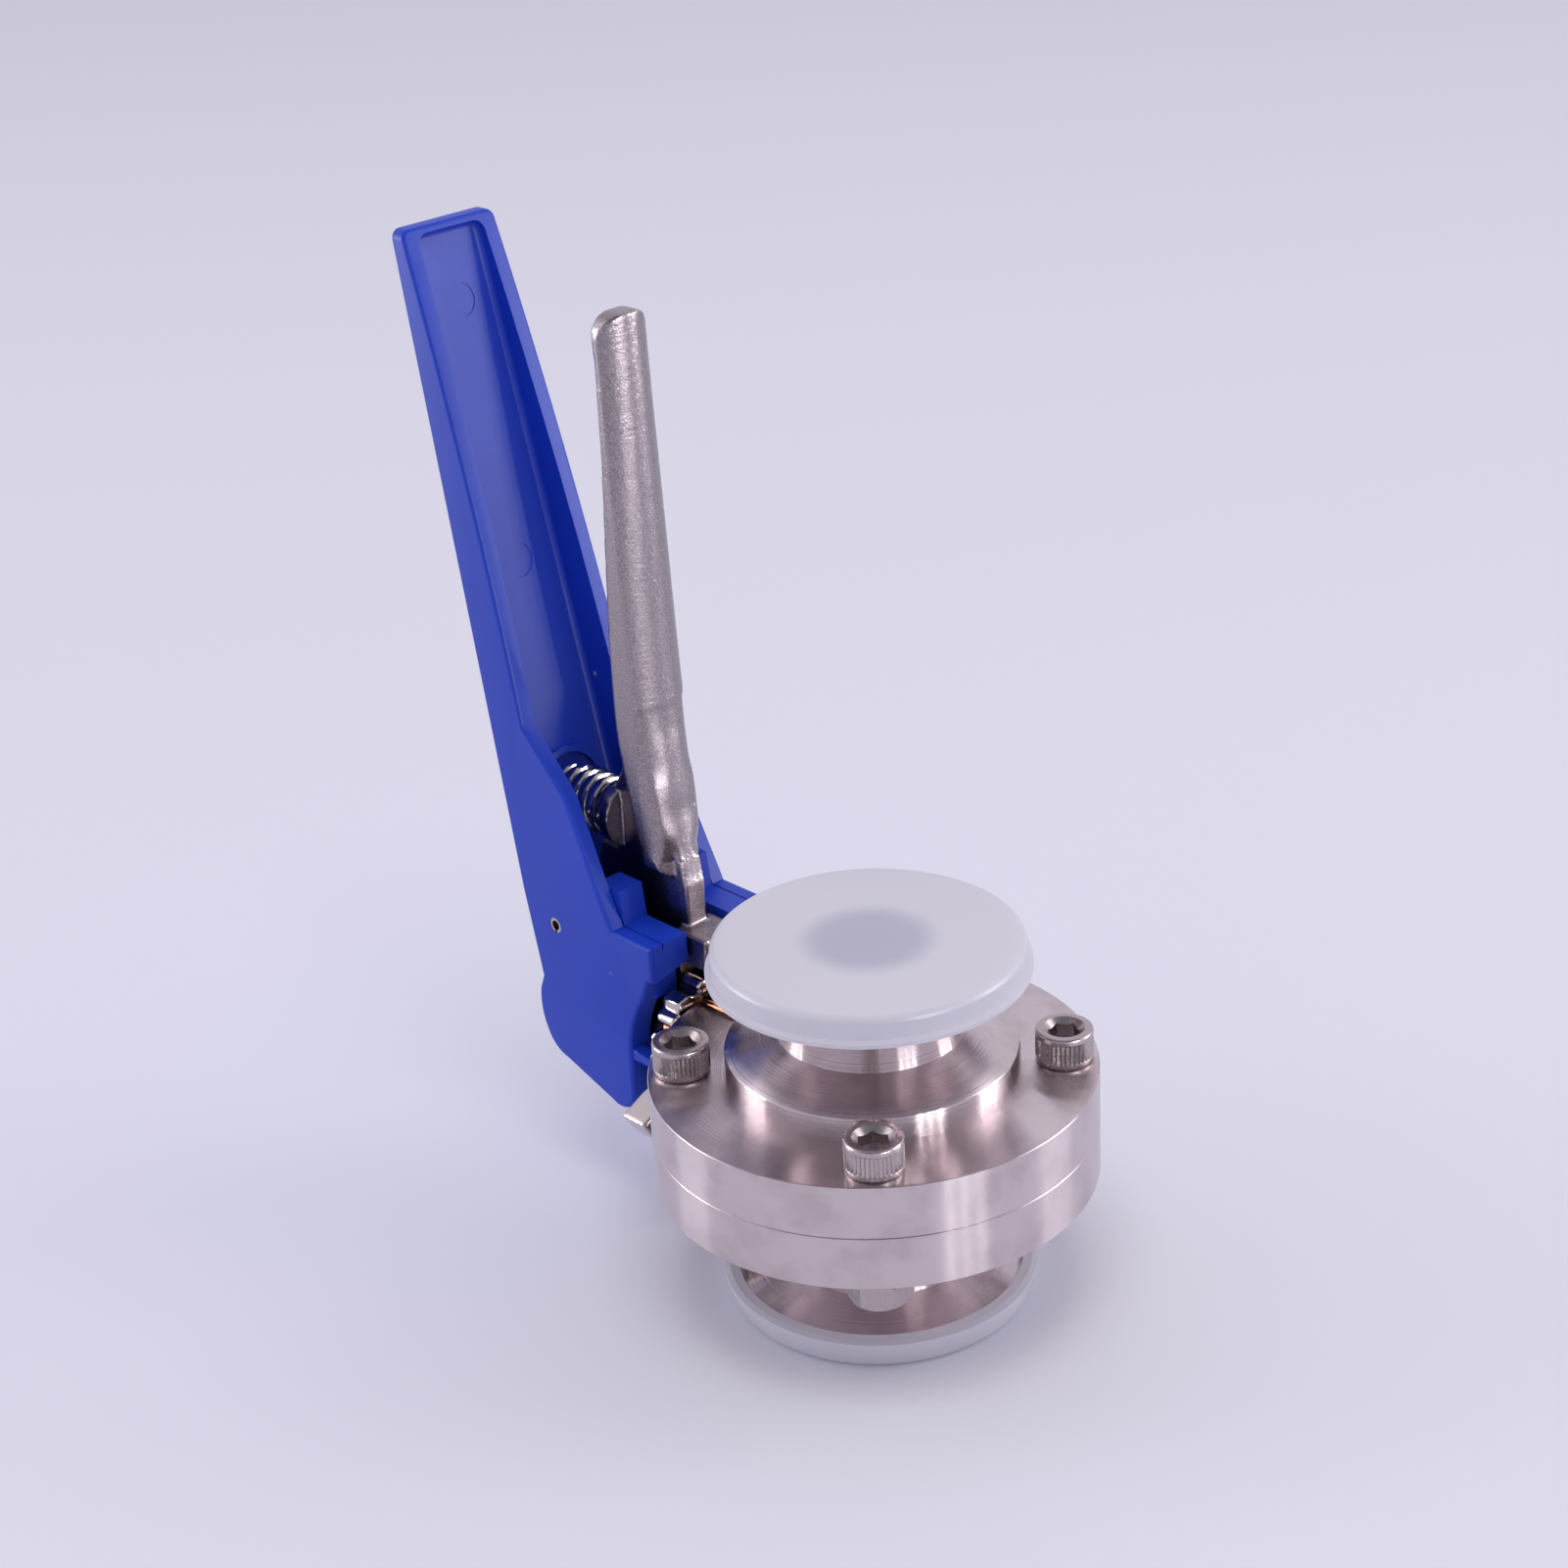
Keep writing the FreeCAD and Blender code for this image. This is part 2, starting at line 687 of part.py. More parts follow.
# Cast lever: a half-round grip on a thin web, with the hub, pin boss, spring seat and foot.
def lever():
    body = new_body("lever")
    grip(body)
    web = new_sketch(body, "web_side", "XZ_Plane")
    outline(web, [
        (set_back("grip_waist_set"), "grip_waist + grip_crown"),
        (set_back("rib_set"), "rib_height"),
        (set_back("-brow_forward"), "brow_height"),
        (set_back("-brow_forward"), "foot_high"),
        (set_back("0"), "foot_high - foot_root"),
        (set_back("0"), "0"),
        (set_back("hub_length"), "0"),
        (set_back("hub_length"), "back_step"),
        ("-(%s - boss_radius * cos(45))" % PIN_X, "pin_height - boss_radius"),
        ("-(%s + boss_radius * cos(45))" % PIN_X, "pin_height"),
        ("-(%s - web_round)" % PIN_X, "spring_height - 2 * peg_half"),
        ("-" + SEAT_X, "spring_height - 2 * peg_half"),
        ("-" + SEAT_X, "spring_height + spring_radius"),
        (set_back("knee_set"), "knee_rise"),
        (set_back("saddle_set"), "saddle_height", "-saddle_radius"),
        (set_back("web_top_set"), "web_top"),
    ])
    plate = pad(body, web, "web_thickness", both=True)
    side = value("web_thickness") / 2
    behind_grip = value(set_back("web_top_set"))
    fillet(body, plate, "web_round",
           lambda edge: flat_at(edge, y=side, mirrored=True) and edge.CenterOfMass.x < behind_grip)
    hub = new_sketch(body, "hub_round", "YZ_Plane", "-" + HUB_OUTER)
    circle(hub, "0", "0", "lever_hub_radius")
    pad(body, hub, "hub_length")
    boss = new_sketch(body, "pin_boss", "XZ_Plane")
    circle(boss, "-" + PIN_X, "pin_height", "boss_radius")
    pad(body, boss, "2 * boss_half_width", both=True)
    # round seat for the spring, with a flat peg that keeps it in place
    seat = new_sketch(body, "spring_seat", "YZ_Plane", "-" + SEAT_X)
    circle(seat, "0", "spring_height", "spring_radius + seat_rim")
    pad(body, seat, "seat_thickness")
    peg = new_sketch(body, "spring_peg", "XZ_Plane")
    outline(peg, [
        ("-(%s - web_round)" % SEAT_X, "spring_height - peg_half"),
        ("-(%s - web_round)" % SEAT_X, "spring_height + peg_half"),
        ("-(%s + peg_length)" % SEAT_X, "spring_height + peg_half"),
        ("-(%s + peg_length)" % SEAT_X, "spring_height - peg_half"),
    ])
    pad(body, peg, "web_thickness - web_round", both=True)
    # foot that reaches forward over the toothed ring
    foot = new_sketch(body, "foot_side", "XZ_Plane")
    outline(foot, [
        (set_back("foot_root"), "lever_hub_radius - foot_root"),
        (set_back("0"), "lever_hub_radius - foot_root"),
        (set_back("0"), "foot_low"),
        (set_back("-foot_forward"), "foot_low"),
        (set_back("-foot_forward"), "foot_high"),
        (set_back("foot_root"), "foot_high"),
    ])
    pad(body, foot, "2 * foot_half_width", both=True)
    bore = new_sketch(body, "hub_square", "YZ_Plane", "-" + HUB_OUTER)
    polygon(bore, "0", "0", "square_size + 2 * running_fit", 4, 45.0)
    pocket(body, bore, "hub_length + running_fit", back=True)
    hole = new_sketch(body, "boss_hole", "XZ_Plane")
    circle(hole, "-" + PIN_X, "pin_height", "pin_radius")
    pocket(body, hole, both=True)
    return body


# Grip sections from the bottom up: height, half width, how far the front is set back, depth.
GRIP_SECTIONS = [
    ("grip_bottom", "(grip_half_width - grip_taper)", "grip_bottom_set", "grip_bottom_depth"),
    ("grip_waist", "grip_half_width", "grip_waist_set", "grip_waist_depth"),
    ("grip_middle", "grip_half_width", "grip_middle_set", "grip_middle_depth"),
    ("grip_top", "(grip_half_width - grip_taper)", "grip_top_set", "grip_top_depth"),
]


def grip(body):
    sections = []
    for number, (height, half, set_by, depth) in enumerate(GRIP_SECTIONS):
        sketch = new_sketch(body, "grip_section_%d" % number, "XY_Plane", height)
        front, back = set_back(set_by), "(%s - %s)" % (set_back(set_by), depth)
        crown = "((%s ^ 2 + grip_crown ^ 2) / 2 / grip_crown)" % half
        outline(sketch, [
            (back, "-" + half),
            (front + " - grip_crown", "-" + half, crown),
            (front + " - grip_crown", half),
            (back, half),
        ])
        sections.append(sketch)
    loft = body.newObject("PartDesign::AdditiveLoft", "grip_loft")
    loft.Profile = sections[0]
    loft.Sections = sections[1:]
    loft.Ruled = False
    doc.recompute()
    # all four corners of the grip are rounded as seen from the front
    edge = "grip_half_width - grip_taper"
    for end, way in (("grip_top", "+"), ("grip_bottom", "-")):
        corner = end + "_corner"
        ends = new_sketch(body, end + "_corners", "YZ_Plane")
        for side in ("", "-"):
            inward = "-" if way == "+" else "+"
            bulge = "-" if (way == "+") == (side == "") else ""
            outline(ends, [
                ("%s(%s - %s)" % (side, edge, corner), "%s %s grip_crown" % (end, way)),
                ("%s(%s - %s)" % (side, edge, corner), end, bulge + corner),
                ("%s(%s)" % (side, edge), "%s %s %s" % (end, inward, corner)),
                ("%s(%s + grip_crown)" % (side, edge), "%s %s %s" % (end, inward, corner)),
                ("%s(%s + grip_crown)" % (side, edge), "%s %s grip_crown" % (end, way)),
            ])
        pocket(body, ends, both=True)


def lever_screw():
    body = new_body("lever_screw")
    section = new_sketch(body, "lever_screw_section", "XZ_Plane")
    seat = "(%s + washer_thickness)" % HUB_OUTER
    tip = "-%s + screw_length - running_fit" % HUB_OUTER
    outline(section, [
        ("-%s - screw_head_height" % seat, "0"),
        (tip, "0"),
        (tip, "screw_diameter / 2"),
        ("-%s" % seat, "screw_diameter / 2"),
        ("-%s" % seat, "screw_head_radius"),
        ("-%s - screw_head_edge" % seat, "screw_head_radius"),
        ("-%s - screw_head_height" % seat, "screw_crown_radius"),
    ])
    turned(body, section, "H_Axis")
    socket = new_sketch(body, "lever_screw_socket", "YZ_Plane", "-%s - screw_head_height" % seat)
    polygon(socket, "0", "0", "screw_key")
    pocket(body, socket, "screw_key_depth", back=True)
    return body


def lever_washer():
    body = new_body("lever_washer")
    ring = new_sketch(body, "washer_ring", "YZ_Plane", "-" + HUB_OUTER)
    circle(ring, "0", "0", "washer_radius")
    circle(ring, "0", "0", "screw_diameter / 2 + running_fit")
    pad(body, ring, "washer_thickness", back=True)
    return body


# Rolled spring pin, a tube with a slit along it.
def pivot_pin():
    body = new_body("pivot_pin")
    ring = new_sketch(body, "pin_section", "XZ_Plane")
    circle(ring, "-" + PIN_X, "pin_height", "pin_radius")
    circle(ring, "-" + PIN_X, "pin_height", "pin_radius - pin_wall")
    pad(body, ring, "trigger_width - 2 * pin_end_gap", both=True)
    slit = new_sketch(body, "pin_slit_outline", "XZ_Plane")
    outline(slit, [
        ("-%s - pin_slit / 2" % PIN_X, "pin_height"),
        ("-%s + pin_slit / 2" % PIN_X, "pin_height"),
        ("-%s + pin_slit / 2" % PIN_X, "pin_height - 2 * pin_radius"),
        ("-%s - pin_slit / 2" % PIN_X, "pin_height - 2 * pin_radius"),
    ])
    pocket(body, slit, both=True)
    return body


# Compression spring between the trigger's floor and the lever's seat: a wire of eight flats,
# swept along a helix.
def trigger_spring():
    seat = value(SEAT_X)
    wire = value("wire_radius")
    radius = value("spring_radius")
    floor = -value(floor_at("spring_height"))
    length = floor - seat - 2 * wire - value("spring_slack")
    helix = Part.makeHelix(length / value("spring_turns"), length, radius)
    angles = [math.radians(degrees) for degrees in range(0, 361, 45)]
    profile = Part.makePolygon([FreeCAD.Vector(radius + wire * math.cos(angle), 0, wire * math.sin(angle))
                                for angle in angles])
    spring = doc.addObject("Part::Feature", "trigger_spring")
    spring.Shape = Part.Wire(helix.Edges).makePipeShell([profile], True, True)
    spring.Label = "trigger_spring"
    spring.Placement = FreeCAD.Placement(
        FreeCAD.Vector(-seat - wire - value("spring_play"), 0, value(SPLIT) + value("spring_height")),
        FreeCAD.Rotation(FreeCAD.Vector(0, 1, 0), -90))
    return spring


# Moulded trigger: a channel with its web outwards, closed top, heel, cheeks and front blocks.
def trigger():
    body = new_body("trigger")
    side = new_sketch(body, "trigger_side", "XZ_Plane")
    top = "trigger_top"
    beak = [
        (ahead_of_pin("lip_ahead"), "lip_height"),
        (ahead_of_pin("beak_ahead"), "lip_height"),
        (ahead_of_pin("beak_ahead"), "block_top"),
        (ahead_of_pin("crook_ahead"), "block_top"),
    ]
    outline(side, [
        (back_at("heel_top_height"), "heel_top_height"),
        (ahead_of_pin("-heel_behind"), "heel_height", "heel_radius"),
        (ahead_of_pin("-sole_behind"), "sole_height", "sole_radius"),
        (ahead_of_pin("0"), "arch_height"),
        (ahead_of_pin("chin_ahead"), "chin_height", "chin_radius"),
        (ahead_of_pin("throat_ahead"), "throat_height"),
        (ahead_of_pin("mouth_ahead"), "mouth_height", "-mouth_radius"),
        (ahead_of_pin("jaw_ahead"), "jaw_height"),
        *beak,
        (ahead_of_pin("knee_ahead"), "knee_height"),
        (ahead_of_pin("-hip_behind"), "hip_height", "brim_radius"),
        (back_at(top) + " + trigger_top_depth", top),
        (back_at(top), top),
    ])
    pad(body, side, "trigger_width", both=True)
    taper = new_sketch(body, "trigger_taper", "YZ_Plane")
    above = top + " + trigger_round"
    for sign in ("", "-"):
        outline(taper, [
            (sign + "trigger_width / 2", "taper_start"),
            (sign + "trigger_width", "taper_start"),
            (sign + "trigger_width", above),
            (sign + "trigger_top_width / 2", above),
            (sign + "trigger_top_width / 2", top),
        ])
    tapered = pocket(body, taper, both=True)
    begin, end = value("taper_start"), value(top)
    narrow, wide = value("trigger_top_width / 2"), value("trigger_width / 2")

    def on_side(edge):
        # an edge of the side outline, on the straight or the tapered part of a cheek
        for point in [vertex.Point for vertex in edge.Vertexes] + [edge.CenterOfMass]:
            share = min(max((point.z - begin) / (end - begin), 0.0), 1.0)
            if abs(abs(point.y) - wide - share * (narrow - wide)) > SAME_PLACE:
                return False
        return not flat_at(edge, z=begin)

    corners = fillet(body, tapered, "top_corner",
                     lambda edge: flat_at(edge, z=end) and near(edge, y=narrow, mirrored=True))
    fillet(body, corners, "trigger_round", on_side)
    # channel between the walls, cut square to the leaning floor
    floor = channel_sketch(body, "trigger_channel")
    low, high = "trigger_width / 2 - trigger_wall", "trigger_top_width / 2 - trigger_wall"
    ceiling = "(trigger_top / cos(trigger_lean) - trigger_end_wall)"
    widest = "taper_start / cos(trigger_lean)"
    outline(floor, [
        ("-(%s)" % low, "channel_start"),
        (low, "channel_start"),
        (low, widest),
        (high, ceiling + " - channel_corner", "channel_corner"),
        (high + " - channel_corner", ceiling),
        ("-(%s - channel_corner)" % high, ceiling, "channel_corner"),
        ("-(%s)" % high, ceiling + " - channel_corner"),
        ("-(%s)" % low, widest),
    ])
    channel = pocket(body, floor, back=True)
    start = value(FLOOR_START)
    fillet(body, channel, "channel_round",
           lambda edge: on_floor(edge) and not flat_at(edge, z=start))
    # ejector marks and the spring's collar, on the floor
    for name, height in (("ejector_mark_low", "ejector_low"), ("ejector_mark_high", "ejector_high")):
        mark = channel_sketch(body, name)
        circle(mark, "0", height + " / cos(trigger_lean)", "ejector_radius")
        pocket(body, mark, "ejector_depth")
    collar = channel_sketch(body, "spring_collar")
    centre = "spring_height / cos(trigger_lean) + (trigger_web - 2 * wire_radius) * sin(trigger_lean)"
    circle(collar, "0", centre, "spring_radius + wire_radius + collar_gap + collar_wall")
    circle(collar, "0", centre, "spring_radius + wire_radius + collar_gap")
    pad(body, collar, "collar_height")
    # hollow head round the lever's hub, open to the front
    head = new_sketch(body, "trigger_head", "XZ_Plane")
    outline(head, [
        (back_at("taper_start", "trigger_web"), "taper_start"),
        (back_at("heel_height", "trigger_web"), "heel_height"),
        (ahead_of_pin("-sole_behind + head_wall"), "sole_height + head_wall * cos(45)"),
        (ahead_of_pin("head_wall / 2"), "arch_height + head_wall"),
        (ahead_of_pin("chin_ahead"), "chin_height + head_wall"),
        (ahead_of_pin("beak_ahead + head_wall"), "chin_height + head_wall"),
        (ahead_of_pin("beak_ahead + head_wall"), "taper_start"),
    ])
    pocket(body, head, "2 * cheek_inner", both=True)
    # solid blocks each side of the lever's web, with ribs behind them
    blocks = new_sketch(body, "front_blocks", "XZ_Plane")
    outline(blocks, [
        (ahead_of_pin("block_back_ahead"), "block_low"),
        (ahead_of_pin("jaw_ahead"), "block_low"),
        *beak,
        (ahead_of_pin("rib_front_ahead"), "rib_top"),
        (ahead_of_pin("rib_back_ahead"), "rib_top"),
        (ahead_of_pin("block_back_ahead"), "block_top"),
    ])
    pad(body, blocks, "2 * (cheek_inner + head_wall / 2)", both=True)
    slot = new_sketch(body, "web_slot", "XZ_Plane")
    outline(slot, [
        (ahead_of_pin("block_back_ahead - head_wall"), "block_low - head_wall"),
        (ahead_of_pin("beak_ahead + head_wall"), "block_low - head_wall"),
        (ahead_of_pin("beak_ahead + head_wall"), "rib_top + head_wall"),
        (ahead_of_pin("block_back_ahead - head_wall"), "rib_top + head_wall"),
    ])
    pocket(body, slot, "2 * slot_half", both=True)
    # dog on the -Y cheek that drops between two teeth
    dog = new_sketch(body, "trigger_dog", "XZ_Plane", "trigger_width / 2 - dog_side_gap - dog_thickness")
    outline(dog, [
        (ahead_of_pin("dog_root_ahead"), "-dog_drop - dog_height"),
        ("-(%s + dog_gap)" % PLATE_FACE, "-dog_drop - dog_height"),
        ("-(%s + dog_gap)" % PLATE_FACE, "-dog_drop"),
        (ahead_of_pin("dog_root_ahead"), "-dog_drop + dog_slope"),
    ])
    pad(body, dog, "dog_thickness")
    hole = new_sketch(body, "trigger_pin_hole", "XZ_Plane")
    circle(hole, "-" + PIN_X, "pin_height", "pin_radius + running_fit")
    pocket(body, hole, both=True)
    return body


# Slip-on dust cap, drawn for the upper ferrule and turned over for the lower one.
def dust_cap(name, turned_over):
    body = new_body(name)
    section = new_sketch(body, name + "_section", "XZ_Plane")
    end = SPLIT
    inner = "(ferrule_radius + cap_fit)"
    outer = "(ferrule_radius + cap_fit + cap_side_wall)"
    mouth = "(%s - cap_depth)" % end
    outline(section, [
        ("0", end + " - cap_end_wall"),
        (inner, end + " - cap_end_wall"),
        (inner, mouth),
        (outer, mouth),
        (outer + " + cap_bead", mouth + " + cap_bead_edge"),
        (outer + " + cap_bead", mouth + " + cap_bead_height - cap_bead_edge"),
        (outer, mouth + " + cap_bead_height"),
        (outer, end + " - cap_end_wall", "cap_end_wall"),
        (outer + " - cap_end_wall", end),
        ("0", end),
    ])
    turned(body, section)
    if turned_over:
        body.Placement.Rotation = FreeCAD.Rotation(FreeCAD.Vector(1, 0, 0), 180)
    return body


pieces = [
    body_half("upper_body", False),
    body_half("lower_body", True),
    seat_ring(),
    stem_bush(),
    end_bush(),
    disc_with_stem(),
    index_plate(),
    lever(),
    lever_screw(),
    lever_washer(),
    pivot_pin(),
    trigger_spring(),
    trigger(),
    dust_cap("top_cap", False),
    dust_cap("bottom_cap", True),
]
for spot, turn in enumerate(BOLT_ANGLES, start=1):
    pieces.append(cap_screw(spot, turn))
    pieces.append(hex_nut(spot, turn))
doc.recompute()

for thing in doc.Objects:
    if "Invalid" in thing.State or "Error" in thing.State:
        raise ValueError("%s did not build: %s" % (thing.Name, thing.State))
os.makedirs("parts", exist_ok=True)
for piece in pieces:
    if piece.Shape.isNull() or not piece.Shape.isValid():
        raise ValueError(piece.Label + " has no valid shape")
    piece.Shape.exportStep("parts/%s.step" % piece.Label)
    box = piece.Shape.BoundBox
    print("%-16s solids %d volume %9.1f  x %.2f..%.2f y %.2f..%.2f z %.2f..%.2f" % (
        piece.Label, len(piece.Shape.Solids), piece.Shape.Volume,
        box.XMin, box.XMax, box.YMin, box.YMax, box.ZMin, box.ZMax))
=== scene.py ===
import bpy
import json
import math
from mathutils import Matrix, Vector


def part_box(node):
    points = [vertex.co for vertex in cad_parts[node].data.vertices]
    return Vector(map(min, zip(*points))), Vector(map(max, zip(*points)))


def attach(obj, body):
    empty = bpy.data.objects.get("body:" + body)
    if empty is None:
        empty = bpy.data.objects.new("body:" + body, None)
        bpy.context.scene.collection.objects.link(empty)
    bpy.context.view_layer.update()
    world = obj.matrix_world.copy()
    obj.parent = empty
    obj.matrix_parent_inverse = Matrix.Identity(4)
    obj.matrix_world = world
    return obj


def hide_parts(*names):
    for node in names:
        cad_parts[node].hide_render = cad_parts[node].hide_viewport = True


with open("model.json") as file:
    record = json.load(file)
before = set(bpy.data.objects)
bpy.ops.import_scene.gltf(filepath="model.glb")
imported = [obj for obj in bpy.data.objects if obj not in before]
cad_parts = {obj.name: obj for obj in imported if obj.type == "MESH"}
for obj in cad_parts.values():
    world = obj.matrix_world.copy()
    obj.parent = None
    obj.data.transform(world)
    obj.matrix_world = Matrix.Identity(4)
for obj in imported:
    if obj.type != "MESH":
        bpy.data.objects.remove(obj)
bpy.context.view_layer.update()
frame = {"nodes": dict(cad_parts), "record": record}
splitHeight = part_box("upper_body")[0][2]  # metres: where the two flanges meet, and the stem's axis
print("frame loaded:", len(frame["nodes"]), "nodes")

mmPerMetre = 1000  # a pattern so many millimetres across repeats so often per metre
bumpDistance = 0.0002  # metres: how deep a bump of strength 1 looks


def linearColour(text):
    # sRGB hex to the linear values that the shaders take
    channels = [int(text[i:i + 2], 16) / 255 for i in (1, 3, 5)]
    return [c / 12.92 if c <= 0.04045 else ((c + 0.055) / 1.055) ** 2.4 for c in channels] + [1.0]


def addNode(tree, kind, inputs=(), stops=(), **settings):
    # inputs: socket name or number -> value, or a (node, output) pair to link
    # stops: a colour ramp's places and hex colours
    made = tree.nodes.new(kind)
    for name, setting in settings.items():
        setattr(made, name, setting)
    for socket, given in dict(inputs).items():
        if isinstance(given, tuple) and hasattr(given[0], "outputs"):
            tree.links.new(given[0].outputs[given[1]], made.inputs[socket])
        else:
            made.inputs[socket].default_value = given
    if stops:
        elements = made.color_ramp.elements
        while len(elements) < len(stops):
            elements.new(0.5)
        for element, (place, colour) in zip(elements, stops):
            element.position, element.color = place, linearColour(colour)
    return made


def makeMaterial(name, addFinish):
    # addFinish adds the finish's nodes to the tree and returns its shader
    material = bpy.data.materials.new(name)
    material.use_nodes = True
    tree = material.node_tree
    tree.nodes.clear()
    addNode(tree, "ShaderNodeOutputMaterial", {"Surface": (addFinish(tree), 0)})
    return material


# in the finishes, tones are a ramp's stops: places in the pattern, from 0 to 1, and colours

# 316L turned on a lathe, then polished with fine paper: the paper's rings pull every light into a
# streak across them, and the metal is bright, a little pink, with faint darker stains. The rings are
# drawn coarser than real ones, so that they show
turned = {"tones": [(0.38, "#C6B9BC"), (0.55, "#D3C6C9")], "stainMm": 9.0, "roughness": 0.2,
          "smoother": 0.85, "rougher": 1.15, "ringMm": 0.3, "bump": 0.18, "streak": 1.0, "streakTurn": 0.25}


def turnedStainless(tree):
    place = (addNode(tree, "ShaderNodeTexCoord"), "Object")
    flat = addNode(tree, "ShaderNodeVectorMath", {0: place, 1: (1, 1, 0)}, operation="MULTIPLY")
    radius = addNode(tree, "ShaderNodeVectorMath", {0: (flat, 0)}, operation="LENGTH")
    parts = addNode(tree, "ShaderNodeSeparateXYZ", {0: place})
    along = addNode(tree, "ShaderNodeMath", {0: (radius, "Value"), 1: (parts, "Z")}, operation="ADD")
    rings = addNode(tree, "ShaderNodeTexNoise", {"W": (along, 0), "Scale": mmPerMetre / turned["ringMm"],
                                                 "Detail": 2.0}, noise_dimensions="1D")
    stain = addNode(tree, "ShaderNodeTexNoise", {"Vector": place, "Scale": mmPerMetre / turned["stainMm"],
                                                 "Detail": 5.0, "Roughness": 0.6})
    tone = addNode(tree, "ShaderNodeValToRGB", {"Fac": (stain, "Fac")}, stops=turned["tones"])
    rough = addNode(tree, "ShaderNodeMapRange", {"Value": (rings, "Fac"),
                                                 "To Min": turned["roughness"] * turned["smoother"],
                                                 "To Max": turned["roughness"] * turned["rougher"]})
    bump = addNode(tree, "ShaderNodeBump", {"Height": (rings, "Fac"), "Strength": turned["bump"],
                                            "Distance": bumpDistance})
    around = addNode(tree, "ShaderNodeTangent", direction_type="RADIAL", axis="Z")
    return addNode(tree, "ShaderNodeBsdfPrincipled", {"Base Color": (tone, "Color"), "Metallic": 1.0,
                                                      "Roughness": (rough, 0), "Normal": (bump, 0),
                                                      "Anisotropic": turned["streak"],
                                                      "Anisotropic Rotation": turned["streakTurn"],
                                                      "Tangent": (around, 0)})


# investment-cast 304, tumbled: a fine satin grain, worn bright along the edges. worn gives the
# pointiness at which that starts, and at which it is complete
cast = {"tones": [(0.3, "#7C7378"), (0.65, "#A79DA2")], "bright": "#E2D8D8", "worn": (0.52, 0.6),
        "roughness": 0.26, "edgeRoughness": 0.14, "grainMm": 0.3, "bump": 0.3}


def castStainless(tree):
    place = (addNode(tree, "ShaderNodeTexCoord"), "Object")
    grain = addNode(tree, "ShaderNodeTexNoise", {"Vector": place, "Scale": mmPerMetre / cast["grainMm"],
                                                 "Detail": 2.0})
    edge = addNode(tree, "ShaderNodeNewGeometry")
    worn = addNode(tree, "ShaderNodeMapRange", {"Value": (edge, "Pointiness"), "From Min": cast["worn"][0],
                                                "From Max": cast["worn"][1]})
    tone = addNode(tree, "ShaderNodeValToRGB", {"Fac": (grain, "Fac")}, stops=cast["tones"])
    shine = addNode(tree, "ShaderNodeMix", {"Factor": (worn, 0), 6: (tone, "Color"),
                                            7: linearColour(cast["bright"])}, data_type="RGBA")
    rough = addNode(tree, "ShaderNodeMapRange", {"Value": (worn, 0), "To Min": cast["roughness"],
                                                 "To Max": cast["edgeRoughness"]})
    bump = addNode(tree, "ShaderNodeBump", {"Height": (grain, "Fac"), "Strength": cast["bump"],
                                            "Distance": bumpDistance})
    return addNode(tree, "ShaderNodeBsdfPrincipled", {"Base Color": (shine, 2), "Metallic": 1.0,
                                                      "Roughness": (rough, 0), "Normal": (bump, 0)})


# investment-cast 304, barrel polished: bright knobs, and dark brown round the stem's axis at the roots of
# the teeth, which is painted shade and reflection between the teeth, and partly a heat tint where the wheel
# can't reach.
# The tones go from the near to the far radius of aroundMm
tintAndShade = {"tones": [(0.0, "#CDC2BF"), (0.3, "#5A3A2B"), (0.7, "#5A3A2B"), (1.0, "#CDC2BF")],
          "aroundMm": (8.4, 13.8), "roughness": 0.15, "grainMm": 0.5, "bump": 0.06}


def polishedCasting(tree):
    place = (addNode(tree, "ShaderNodeTexCoord"), "Object")
    grain = addNode(tree, "ShaderNodeTexNoise", {"Vector": place, "Scale": mmPerMetre / tintAndShade["grainMm"],
                                                 "Detail": 2.0})
    fromAxis = addNode(tree, "ShaderNodeVectorMath", {0: place, 1: (0, 0, -splitHeight)}, operation="ADD")
    across = addNode(tree, "ShaderNodeVectorMath", {0: (fromAxis, 0), 1: (0, 1, 1)}, operation="MULTIPLY")
    radius = addNode(tree, "ShaderNodeVectorMath", {0: (across, 0)}, operation="LENGTH")
    inner, outer = tintAndShade["aroundMm"]
    share = addNode(tree, "ShaderNodeMapRange", {"Value": (radius, "Value"), "From Min": inner / mmPerMetre,
                                                 "From Max": outer / mmPerMetre})
    # painted shade and reflection between the teeth, partly a heat tint: the tones turn dark brown at the
    # roots of the teeth
    tone = addNode(tree, "ShaderNodeValToRGB", {"Fac": (share, 0)}, stops=tintAndShade["tones"])
    bump = addNode(tree, "ShaderNodeBump", {"Height": (grain, "Fac"), "Strength": tintAndShade["bump"],
                                            "Distance": bumpDistance})
    return addNode(tree, "ShaderNodeBsdfPrincipled", {"Base Color": (tone, "Color"), "Metallic": 1.0,
                                                      "Roughness": tintAndShade["roughness"],
                                                      "Normal": (bump, 0)})


# cold-headed A2 stainless: smooth, with faint forging marks
fastener = {"colour": "#B8ADAE", "roughness": 0.25, "smoother": 0.7, "rougher": 1.5, "markMm": 1.1,
            "bump": 0.08}


def fastenerSteel(tree):
    place = (addNode(tree, "ShaderNodeTexCoord"), "Object")
    marks = addNode(tree, "ShaderNodeTexNoise", {"Vector": place, "Scale": mmPerMetre / fastener["markMm"],
                                                 "Detail": 3.0})
    rough = addNode(tree, "ShaderNodeMapRange", {"Value": (marks, "Fac"),
                                                 "To Min": fastener["roughness"] * fastener["smoother"],
                                                 "To Max": fastener["roughness"] * fastener["rougher"]})
    bump = addNode(tree, "ShaderNodeBump", {"Height": (marks, "Fac"), "Strength": fastener["bump"],
                                            "Distance": bumpDistance})
    return addNode(tree, "ShaderNodeBsdfPrincipled", {"Base Color": linearColour(fastener["colour"]),
                                                      "Metallic": 1.0, "Roughness": (rough, 0),
                                                      "Normal": (bump, 0)})


